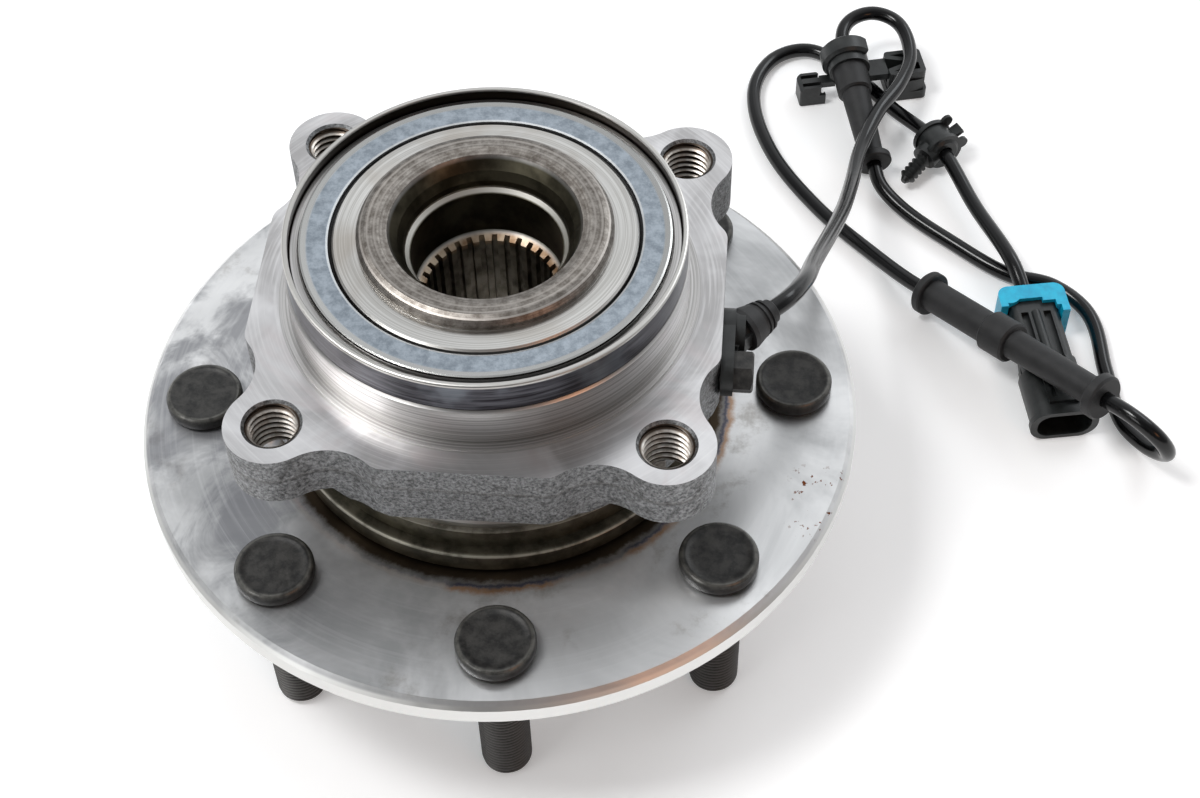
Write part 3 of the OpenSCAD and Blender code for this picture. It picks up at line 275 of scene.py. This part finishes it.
def hub_steel():
    """Turned steel with a heat-tinted ring by the neck and a worn, rolled-over inboard end."""
    g = Surface("hub_steel")
    clouds = g.noise(0.022, 5, 0.6, warp=0.6)
    lines = g.turned(0.9)
    stains = g.step(g.noise(0.045, 7, 0.68), 0.56, 0.72)
    dark_reflections = g.step(g.noise(0.03, 5, 0.62, warp=1.4), 0.4, 0.62)
    color = g.shade(clouds, tone(172, 173, 174), tone(236, 236, 236))
    color = g.wash(color, tone(128, 120, 110), stains, 0.55)
    # Painted dark reflections: blue-grey patches over the part's left side
    color = g.wash(color, tone(118, 119, 124), dark_reflections, g.step(g.x, -20, -68), 0.75)
    color = g.wash(color, tone(222, 223, 224), g.step(lines, 0.45, 0.75), 0.2)

    # Heat tint on the flange's face: straw, then blue, then brown up to the neck
    ragged = g.add(g.radius, g.times(g.noise(0.16, 6, 0.75), 4.5))
    on_face = g.band(g.z, FLANGE_FACE - 0.6, FLANGE_FACE + 4, 0.3)
    patches = g.step(g.noise(0.05, 3), 0.42, 0.6, 0.15, 0.9)
    color = g.wash(color, tone(168, 124, 84), g.band(ragged, 66.2, 67.8, 1.1), on_face, patches)
    color = g.wash(color, tone(72, 82, 108), g.band(ragged, 65.3, 66.4, 0.6), on_face, patches)
    burnt = g.times(g.step(ragged, 63.6, 67.2, 1, 0), on_face)
    color = g.mix(burnt, color, g.shade(clouds, tone(52, 44, 36), tone(86, 74, 60)))

    # Rust specks by the edge, low on the right, and the bare chamfer of the rim
    specks = g.step(g.noise(0.55, 3, 0.6), 0.62, 0.66)
    spot = g.times(g.band(g.y, -42, -20, 3), g.step(g.x, 80, 85))
    color = g.wash(color, tone(112, 62, 34), specks, spot)
    color = g.wash(color, tone(224, 224, 222), g.past(g.radius, FLANGE_R - 0.9, 0.3))

    # Rolled end, funnel with its ledge, and spline
    end = g.times(g.past(g.z, ROLLED_END, 0.1), g.past(g.radius, FUNNEL_R, 0.5))
    color = g.mix(end, color, rolled_end(g))
    funnel = g.times(g.short_of(g.radius, FUNNEL_R, 0.5), g.past(g.z, FUNNEL_FOOT, 0.5))
    color = g.mix(funnel, color, g.shade(g.noise(0.12, 4), tone(50, 47, 38), tone(92, 88, 74)))
    ledge = g.times(g.band(g.z, 73.2, 74.6, 0.2), g.band(g.radius, BORE_R, 21.6, 0.3))
    color = g.wash(color, tone(205, 203, 196), ledge)
    spline = g.times(g.short_of(g.radius, BORE_R, 0.3), g.short_of(g.z, SPLINE_TOP, 0.5))
    color = g.mix(spline, color, spline_walls(g))

    rough = g.blend(g.step(clouds, 0.35, 0.65), 0.46, 0.32)
    rough = g.blend(burnt, rough, 0.5)
    rough = g.blend(g.either(end, funnel), rough, 0.42)
    scratches = g.noise(0.9, 2, 0.5, g.join(g.x, g.times(g.y, 0.12), g.z))
    normal = g.bump(scratches, 0.006, g.bump(lines, 0.012))
    return g.finish(color, rough, 1.0, normal, brushed=0.45)


def housing_steel():
    """A forging: grainy on its sides, milled on its inboard face and turned on its barrel."""
    g = Surface("housing_steel")
    grain = g.noise(1.1, 6, 0.7)
    pits = g.step(g.noise(0.32, 5, 0.65), 0.5, 0.7)
    wander = g.add(g.z, g.times(g.noise(0.08, 3), 1.6))
    parting = g.times(g.band(wander, 51.5, 52.6, 0.5), g.past(g.radius, 56.5, 0.5))
    forged = g.shade(grain, tone(78, 79, 80), tone(162, 163, 164))
    forged = g.wash(forged, tone(56, 54, 52), pits, 0.55)
    forged = g.wash(forged, tone(86, 82, 77), parting, 0.3)

    arcs = g.turned(0.8, 2.2)
    clouds = g.noise(0.03, 4, 0.6, warp=0.8)
    pink = g.step(g.noise(0.035, 3, 0.6, warp=1.5), 0.52, 0.66)
    milled = g.shade(clouds, tone(176, 174, 174), tone(226, 225, 226))
    milled = g.wash(milled, tone(238, 237, 237), g.step(arcs, 0.42, 0.7), 0.4)
    milled = g.wash(milled, tone(206, 196, 196), pink, 0.4)
    turned = g.shade(g.turned(0.5, 0.6), tone(158, 156, 154), tone(216, 214, 213))

    top = g.times(g.step(g.level, 0.85, 0.93), g.past(g.z, EAR_FACE - 0.35, 0.15))
    barrel = g.times(g.short_of(g.radius, 55.6, 0.2), g.past(g.z, EAR_FACE - 0.05, 0.15))
    neck = g.times(g.short_of(g.z, 39.4, 0.2), g.short_of(g.radius, 57.3, 0.3))
    turned_parts = g.either(barrel, neck)
    machined = g.either(top, turned_parts)
    color = g.mix(top, forged, milled)
    color = g.mix(turned_parts, color, turned)
    upright = g.step(g.level, 0.5, 0.8, 1, 0)
    bore = g.times(g.step(g.from_ear_hole(), EAR_HOLE_R + 0.05, EAR_HOLE_R + 0.3, 1, 0), upright)
    color = g.mix(bore, color, g.shade(g.noise(0.4, 3), tone(96, 90, 84), tone(150, 146, 140)))

    skin = g.times(g.add(grain, g.times(parting, 0.8)), g.less(1, machined))
    normal = g.bump(skin, 0.16, g.bump(g.times(arcs, machined), 0.012))
    return g.finish(color, g.blend(machined, 0.55, 0.3), 1.0, normal, brushed=0.35)


def sleeve_steel():
    """A band darkened by heat, with streaks round it and a bright upper rim."""
    g = Surface("sleeve_steel")
    streaks = g.noise(1, 4, 0.6, g.join(g.times(g.angle, 2.5), 0, g.times(g.z, 0.9)))
    color = g.shade(streaks, tone(34, 32, 37), tone(92, 92, 98))
    color = g.wash(color, tone(132, 138, 146), g.step(g.noise(0.06, 3), 0.5, 0.68), 0.5)
    color = g.wash(color, tone(196, 194, 190), g.band(g.z, 80.3, 81.5, 0.15))
    color = g.wash(color, tone(30, 26, 24), g.band(g.z, 71.7, 72.3, 0.15))
    inside = g.short_of(g.radius, 51.05, 0.15)
    color = g.wash(color, tone(40, 34, 28), inside, g.short_of(g.z, 80.65, 0.25))
    rough = g.blend(streaks, 0.22, 0.42)
    return g.finish(color, rough, 1.0, g.bump(g.turned(0.5), 0.01), brushed=0.3)


def zinc_sheet():
    """Blue-grey plating with dull spangles, brighter on its bead and its cut edge."""
    g = Surface("zinc_sheet")
    cells = g.noise(0.35, 6, 0.75)
    dust = g.step(g.noise(1.6, 4, 0.7), 0.6, 0.72)
    bead = g.past(g.radius, 45.9, 0.3)
    cut_edge = g.short_of(g.radius, 40.9, 0.1)
    color = g.shade(cells, tone(130, 139, 148), tone(172, 181, 190))
    color = g.wash(color, tone(206, 208, 210), dust, 0.4)
    color = g.wash(color, tone(176, 176, 174), bead)
    color = g.wash(color, tone(216, 216, 214), cut_edge, 0.6)
    rough = g.blend(bead, g.blend(cells, 0.34, 0.5), 0.24)
    return g.finish(color, rough, 1.0, g.bump(cells, 0.02), brushed=0.2)


def ground_steel():
    """Ground bearing steel, its marks round the axis, faintly straw-coloured in places."""
    g = Surface("ground_steel")
    lines = g.turned(0.35, 1)
    straw = g.step(g.noise(0.04, 3, warp=0.5), 0.48, 0.66)
    color = g.shade(lines, tone(178, 176, 172), tone(216, 215, 212))
    color = g.wash(color, tone(160, 148, 134), straw, 0.4)
    return g.finish(color, g.blend(lines, 0.26, 0.36), 1.0, g.bump(lines, 0.008), brushed=0.5)


def shield_steel():
    """Dark olive coating with thin highlights painted on the drawn corners."""
    g = Surface("shield_steel")
    mottle = g.noise(0.16, 5, 0.65)
    corner_highlights = g.either(g.band(g.z, 18.6, 19.25, 0.15), g.band(g.z, 25.6, 26.3, 0.15))
    color = g.shade(mottle, tone(60, 58, 48), tone(104, 100, 86))
    # Painted highlights along the drawn corners, broken up by the mottle
    color = g.wash(color, tone(190, 186, 172), corner_highlights, g.step(mottle, 0.35, 0.55, 0.35, 0.8))
    rough = g.blend(mottle, 0.3, 0.45)
    return g.finish(color, rough, 0.85, g.bump(g.turned(0.6), 0.015), brushed=0.3)


def phosphate(name, on_stud=False):
    """Matt black phosphate, rubbed a little grey; on a stud, shade painted dark into the thread
    roots, paler crests and a highlight painted on the head's edge.
    """
    g = Surface(name)
    rub = g.noise(0.35, 5, 0.65)
    dust = g.step(g.noise(1.3, 4, 0.7), 0.62, 0.75)
    color = g.shade(rub, tone(35, 35, 35), tone(66, 65, 63))
    color = g.wash(color, tone(104, 102, 99), dust, 0.35)
    rough = g.blend(rub, 0.36, 0.55)
    if on_stud:
        off = g.from_stud()
        threaded = g.step(g.z, -1, 0, 1, 0)
        # Painted shade: the stud's thread roots are darkened where shade falls between the crests;
        # the crests are made paler
        color = g.wash(color, tone(16, 15, 14), g.step(off, 6.2, 6.5, 1, 0), threaded, 0.8)
        color = g.wash(color, tone(104, 102, 100), g.step(off, 6.35, 6.9), threaded, 0.7)
        # A painted highlight along the head's bevelled edge, broken up by the rub, with a glossier
        # finish there
        head_edge_highlight = g.times(g.band(off, 9.3, 10.3, 0.3), g.step(g.z, 15.4, 15.9))
        color = g.wash(color, tone(112, 111, 106), head_edge_highlight, g.step(rub, 0.35, 0.6, 0.25, 0.6))
        rough = g.blend(head_edge_highlight, rough, 0.3)
    return g.finish(color, rough, 0.45, g.bump(g.noise(1.8, 4), 0.03))


def thread_steel():
    """Cut threads in the ear holes, oily on their crests, with shade painted dark into their
    roots.
    """
    g = Surface("thread_steel")
    oil = g.noise(0.5, 4)
    color = g.shade(oil, tone(178, 168, 158), tone(226, 222, 216))
    # Painted shade in the thread roots
    color = g.wash(color, tone(78, 68, 60), g.step(g.from_ear_hole(), 6.15, 6.7))
    return g.finish(color, g.blend(oil, 0.3, 0.45), 1.0)


def hidden_metal(name, dark, light, rough):
    """A hidden part's metal: a soft mottle under turning marks."""
    g = Surface(name)
    color = g.shade(g.noise(0.2, 4), tone(*dark), tone(*light))
    rough = g.blend(g.noise(0.5, 3), rough, rough + 0.12)
    return g.finish(color, rough, 1.0, g.bump(g.turned(0.5), 0.008))


# Plastics and rubbers

def moulded(name, dark, light, rough, grain=0.03, rub=0.3, gloss=0.5):
    """A moulded surface: slight mottle, fine grain and a few pale rubs."""
    g = Surface(name)
    mottle = g.noise(0.25, 4)
    rubs = g.step(g.noise(0.8, 5, 0.7), 0.64, 0.76)
    pale = tone(*(min(255, value + 50) for value in light))
    color = g.shade(mottle, tone(*dark), tone(*light))
    color = g.wash(color, pale, rubs, rub)
    rough = g.blend(mottle, rough, rough + 0.12)
    return g.finish(color, rough, 0.0, g.bump(g.noise(2.4, 3), grain), gloss=gloss)


def coat(piece, material):
    piece.data.materials.clear()
    piece.data.materials.append(material)


def paint(material, *names):
    """Gives the solids of these names a material."""
    for name in names:
        coat(nodes[name], material)


stud_coating = phosphate("stud_coating", on_stud=True)
lead_jacket = moulded(
    "lead_jacket", (5, 5, 6), (9, 9, 10), 0.13, grain=0.003, rub=0.05, gloss=0.38)

paint(hub_steel(), "wheel_hub")
paint(housing_steel(), "outer_ring")
paint(sleeve_steel(), "barrel_sleeve")
paint(zinc_sheet(), "inboard_seal_case", "outboard_seal_case")
paint(shield_steel(), "outboard_shield")
paint(ground_steel(),
      "inboard_inner_ring", "outboard_inner_ring", "inboard_rollers", "outboard_rollers")
paint(hidden_metal("cage_steel", (92, 84, 72), (140, 130, 114), 0.4),
      "inboard_cage", "outboard_cage")
paint(hidden_metal("sintered_steel", (70, 66, 60), (108, 102, 94), 0.5), "tone_ring")
paint(hidden_metal("drawn_steel", (150, 150, 150), (196, 196, 194), 0.3),
      "outboard_slinger", "sensor_tip")
paint(hidden_metal("terminal_brass", (176, 142, 70), (214, 184, 112), 0.25),
      "connector_terminals")
paint(phosphate("screw_coating"), "sensor_screw")
paint(stud_coating, "wheel_studs")
paint(moulded("black_rubber", (19, 19, 20), (33, 33, 34), 0.5, grain=0.04),
      "inboard_seal_lip", "outboard_seal_lip", "sensor_o_ring", "sensor_boot", "grommet_a",
      "grommet_b")
paint(moulded("black_plastic", (22, 24, 24), (38, 41, 41), 0.34),
      "sensor_body", "bracket_clip", "fir_tree_clip", "connector_body")
paint(moulded("seal_green", (24, 70, 44), (40, 96, 62), 0.5), "connector_seal")
paint(moulded("cyan_plastic", (0, 162, 202), (10, 188, 224), 0.3, grain=0.01), "connector_lock")
paint(lead_jacket, "lead_cable")


# Lead: x, y and height over the floor along the solid's route

LEAD_POINTS = [
    (71, -0.5, 95.5), (76.5, 5, 95.5), (82.6, 16.4, 91.6), (86, 35, 79.5), (96.5, 92, 40),
    (101, 121, 24), (104.5, 144, 16.8), (110.5, 163, 16), (118.5, 179, 15.5), (122, 193.5, 15),
    (118.2, 207.4, 16.6), (109, 211.9, 17.4), (100.1, 207, 16.8), (98.5, 197, 15.3),
    (111, 142.8, 5.4), (119, 131, 3.2), (137, 115.5, 2.6), (153.5, 103.5, 2.6), (168.5, 99, 2.6),
    (179.2, 87, 2.6), (182.6, 64, 2.7), (186, 44.1, 3), (192.3, 32.9, 5.4), (196, 24.2, 13.9),
    (190.6, 23.4, 23.5), (181, 31.1, 25.4), (123.7, 92.3, 7.1), (110, 108.3, 3.5),
    (91, 129.5, 2.7), (75, 155, 2.6), (68, 182, 2.6), (73.5, 200.8, 2.6), (86.4, 207.5, 2.6),
    (99.6, 199.6, 2.7), (117, 177.5, 4), (131.5, 157, 8), (143.5, 129, 7), (154, 104, 9),
    (158.4, 90, 6.4), (159.9, 81.8, 6.4)]

# Points where the boot, a grommet or the connector holds the lead straight up to the next one
LEAD_HELD = (0, 13, 25, 38)


def lead_direction(route, i):
    """Straight along a held stretch, else along the line between a point's two neighbours."""
    for k in LEAD_HELD:
        if i in (k, k + 1):
            return (route[k + 1] - route[k]).normalized()
    return (route[i + 1] - route[i - 1]).normalized()


def make_lead():
    """One open spline through the route, its handles set so that it bends as the solid does."""
    route = [Vector((x, y, h + FLOOR)) * MM for x, y, h in LEAD_POINTS]
    data = bpy.data.curves.new("lead", "CURVE")
    data.dimensions = "3D"
    data.resolution_u = 12
    data.bevel_depth = LEAD_R * MM
    data.bevel_resolution = 6
    data.use_fill_caps = True
    data.materials.append(lead_jacket)
    spline = data.splines.new("BEZIER")
    last = len(route) - 1
    spline.bezier_points.add(last)
    stub = 0.1 * MM
    for i, (point, spot) in enumerate(zip(spline.bezier_points, route)):
        way = lead_direction(route, i)
        before = (spot - route[max(i - 1, 0)]).length or stub
        after = (route[min(i + 1, last)] - spot).length or stub
        point.handle_left_type = point.handle_right_type = "FREE"
        point.co = spot
        point.handle_left = spot - way * before / 3
        point.handle_right = spot + way * after / 3
    lead = bpy.data.objects.new("lead", data)
    scene.collection.objects.link(lead)
    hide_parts("lead_cable")
    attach(lead, "housing")


make_lead()


# Pieces modelled one by one

# How near two points are when they count as one, and how near a rim is to the height asked for
DOUBLED = 0.01
RIM_SLACK = 0.02


def pick(*pieces):
    """Selects these objects and no others, and makes the first one active."""
    bpy.ops.object.select_all(action="DESELECT")
    for piece in pieces:
        piece.select_set(True)
    bpy.context.view_layer.objects.active = pieces[0]


def begin(name):
    """A new piece that is one point at the origin, open for editing."""
    bpy.ops.object.select_all(action="DESELECT")
    bpy.ops.mesh.primitive_plane_add(size=MM, location=(0, 0, 0))
    piece = bpy.context.object
    piece.name = piece.data.name = name
    bpy.ops.object.mode_set(mode="EDIT")
    bpy.ops.mesh.select_mode(type="VERT")
    bpy.ops.mesh.merge(type="CENTER")
    return piece


def draw(outline):
    """Drags the point along an outline of (radius, height)."""
    last = (0, 0)
    for i, (r, z) in enumerate(outline):
        way = ((r - last[0]) * MM, 0, (z - last[1]) * MM)
        if i:
            bpy.ops.mesh.extrude_vertices_move(TRANSFORM_OT_translate={"value": way})
        else:
            bpy.ops.transform.translate(value=way)
        last = (r, z)


def close_up():
    """Merges doubled points, turns the faces outwards and leaves the piece."""
    bpy.ops.mesh.select_all(action="SELECT")
    bpy.ops.mesh.remove_doubles(threshold=DOUBLED * MM)
    bpy.ops.mesh.normals_make_consistent(inside=False)
    bpy.ops.object.mode_set(mode="OBJECT")


def turn_up(name, outline, sides):
    """Spins an outline round the upright axis, as on a lathe."""
    piece = begin(name)
    draw(outline)
    bpy.ops.mesh.select_all(action="SELECT")
    bpy.ops.mesh.spin(steps=sides, angle=2 * math.pi, center=(0, 0, 0), axis=(0, 0, 1))
    close_up()
    return piece


def cut_level(height, **cleared):
    """Cuts the open piece level at a height and clears what lies beyond."""
    bpy.ops.mesh.select_all(action="SELECT")
    bpy.ops.mesh.bisect(
        plane_co=(0, 0, height * MM), plane_no=(0, 0, 1), threshold=1e-7, **cleared)


def cut_thread(name, root, crest, pitch, low, high, sides):
    """A thread's skin with flat crests and roots, cut level at both ends."""
    piece = begin(name)
    foot = low - 1.5 * pitch
    draw([(root, foot), (root, foot + 0.12 * pitch), (crest, foot + 0.44 * pitch),
          (crest, foot + 0.56 * pitch), (root, foot + 0.88 * pitch), (root, foot + pitch)])
    bpy.ops.object.mode_set(mode="OBJECT")
    bpy.ops.object.modifier_add(type="SCREW")
    helix = piece.modifiers[0]
    helix.screw_offset = pitch * MM
    helix.iterations = math.ceil((high - low) / pitch) + 3
    helix.steps = helix.render_steps = sides
    bpy.ops.object.modifier_apply(modifier=helix.name)
    bpy.ops.object.mode_set(mode="EDIT")
    bpy.ops.mesh.select_all(action="SELECT")
    bpy.ops.mesh.remove_doubles(threshold=DOUBLED * MM)
    cut_level(low, clear_inner=True)
    cut_level(high, clear_outer=True)
    bpy.ops.object.mode_set(mode="OBJECT")
    return piece


def trim(piece, least, most):
    """Keeps each point's radius between two limits, which are given by its height."""
    for point in piece.data.vertices:
        reach = math.hypot(point.co.x, point.co.y) / MM
        kept = min(max(reach, least(point.co.z / MM)), most(point.co.z / MM))
        point.co.x *= kept / reach
        point.co.y *= kept / reach


def join(pieces):
    pick(*pieces)
    bpy.ops.object.join()
    return pieces[0]


def bridge(piece, *heights):
    """Bridges the two open rims that lie at these heights, or at this one."""
    bpy.ops.object.mode_set(mode="EDIT")
    bpy.ops.mesh.select_mode(type="EDGE")
    bpy.ops.mesh.select_all(action="DESELECT")
    mesh = bmesh.from_edit_mesh(piece.data)
    for edge in mesh.edges:
        if edge.is_boundary:
            ends = [point.co.z / MM for point in edge.verts]
            edge.select = any(
                all(abs(z - height) < RIM_SLACK for z in ends) for height in heights)
    mesh.select_flush_mode()
    bmesh.update_edit_mesh(piece.data)
    bpy.ops.mesh.bridge_edge_loops()
    close_up()


def set_out(piece, places):
    """Copies a finished piece to each (x, y), every copy with its own mesh, and joins them."""
    copies = []
    for x, y in places:
        pick(piece)
        bpy.ops.object.duplicate(linked=False)
        bpy.ops.transform.translate(value=(x * MM, y * MM, 0))
        bpy.ops.object.transform_apply(location=True, rotation=False, scale=False)
        copies.append(bpy.context.object)
    name = piece.name
    bpy.data.objects.remove(piece)
    whole = join(copies)
    whole.name = whole.data.name = name
    return whole


def dress(piece, material):
    """Gives a finished piece its material, and smooths all but its sharp corners."""
    coat(piece, material)
    pick(piece)
    bpy.ops.object.shade_smooth_by_angle(angle=math.radians(30))


def make_studs():
    """The wheel studs: a chamfered tip, a real thread, a plain seat and a bevelled head."""
    tip, lead_in, run_out = FLOOR, 0.9, -3
    thread = cut_thread("wheel_stud", root=6.12, crest=6.98, pitch=1.5,
                        low=tip + lead_in, high=run_out, sides=36)
    trim(thread, lambda z: 5.4, lambda z: 5.9 + 0.9 * (z - tip - lead_in))
    end = turn_up("stud_tip", [(5.3, tip + 0.3), (4.7, tip), (0, tip)], 36)
    head = turn_up("stud_head", [
        (6.98, run_out + 1), (7.34, 0.6), (7.34, 12.02), (10, 12.02), (10, 12.9), (10.1, 13.05),
        (10.5, 13.25), (10.6, 13.5), (10.6, 15.7), (10.35, 16.3), (9.8, 16.72), (9.1, 16.8),
        (8.6, 16.74), (8.2, 16.55), (7, 16.46), (4, 16.42), (0, 16.42)], 48)
    stud = join([thread, end, head])
    bridge(stud, tip + lead_in, tip + 0.3)
    bridge(stud, run_out, run_out + 1)
    turns = [math.radians(STUD_TURN + 360 / STUDS * n) for n in range(STUDS)]
    places = [(STUD_CIRCLE_R * math.cos(turn), STUD_CIRCLE_R * math.sin(turn)) for turn in turns]
    studs = set_out(stud, places)
    dress(studs, stud_coating)
    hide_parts("wheel_studs")
    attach(studs, "hub")


def make_ear_threads():
    """The threads that line the four ear holes, countersunk at either face."""
    low, high, root = 43.9, 58.5, 6.98
    inner = cut_thread("ear_threads", root=root, crest=5.96, pitch=2,
                       low=low, high=high, sides=48)
    trim(inner, lambda z: root - 1.2 * min(z - low, high - z), lambda z: root)
    outer = turn_up("ear_sleeve", [(6.995, low), (6.995, high)], 48)
    sleeve = join([inner, outer])
    bridge(sleeve, low)
    bridge(sleeve, high)
    places = [(x, y) for x in (-EAR_HALF, EAR_HALF) for y in (-EAR_HALF, EAR_HALF)]
    threads = set_out(sleeve, places)
    dress(threads, thread_steel())
    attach(threads, "housing")


make_studs()
make_ear_threads()


# Floor and light

FLOOR_SIZE = 24
PAPER_GLOW = 0.22


def make_floor():
    """White paper, which looks white to the lens and in polish even where the lamps fade."""
    g = Surface("floor_paper")
    color = g.shade(g.noise(0.01, 2), tone(244, 244, 244), tone(250, 250, 250))
    rays = g.node("ShaderNodeLightPath").outputs
    seen = g.either(rays["Is Camera Ray"], rays["Is Glossy Ray"])
    seen = g.either(seen, rays["Is Transmission Ray"])
    g.feed(g.shader.inputs["Emission Color"], (1, 1, 1, 1))
    g.feed(g.shader.inputs["Emission Strength"], g.times(seen, PAPER_GLOW))
    bpy.ops.object.select_all(action="DESELECT")
    bpy.ops.mesh.primitive_plane_add(size=FLOOR_SIZE, location=(0, 0, FLOOR * MM))
    floor = bpy.context.object
    floor.name = floor.data.name = "floor"
    bpy.ops.object.transform_apply(location=True, rotation=False, scale=False)
    coat(floor, g.finish(color, 0.9))


def make_room():
    """A cloudy room, darker to the front and the left."""
    world = bpy.data.worlds.new("room")
    scene.world = world
    world.use_nodes = True
    g = Graph(world.node_tree)
    way = g.node("ShaderNodeTexCoord").outputs["Generated"]
    across, along, _ = g.node("ShaderNodeSeparateXYZ", way).outputs
    clouds = g.noise(2.2, 2, 0.5, way)
    level = g.times(g.step(along, -0.5, 0.75, 0.2, 1.05), g.step(across, -0.6, 0.3, 0.66, 1.1))
    level = g.times(level, g.step(clouds, 0.36, 0.62, 0.68, 1.14))
    background = g.tree.nodes["Background"]
    g.feed(background.inputs["Color"], (0.96, 0.98, 1, 1))
    g.feed(background.inputs["Strength"], level)


def soft_box(name, place, aim, size, power, color=(1, 1, 1)):
    """A rectangular lamp at place, turned to face aim."""
    data = bpy.data.lights.new(name, "AREA")
    data.shape = "RECTANGLE"
    data.size, data.size_y = size
    data.energy = power
    data.color = color
    light = bpy.data.objects.new(name, data)
    scene.collection.objects.link(light)
    light.location = place
    light.rotation_euler = (Vector(aim) - Vector(place)).to_track_quat("-Z", "Y").to_euler()


make_floor()
make_room()
soft_box("key", place=(-0.75, -0.15, 1.5), aim=(0.03, 0, 0), size=(0.5, 0.5), power=14)
soft_box("window", place=(1.0, 1.1, 1.2), aim=(0.05, 0, 0), size=(0.9, 0.5), power=5,
         color=(0.92, 0.96, 1))
soft_box("low", place=(-0.9, -0.75, 0.7), aim=(0, 0, 0), size=(0.7, 0.5), power=4)
soft_box("warm", place=(0.62, -0.62, 0.5), aim=(0, -0.05, 0.01), size=(0.3, 0.2), power=0.55,
         color=(1, 0.42, 0.16))
scene.view_settings.view_transform = "Standard"
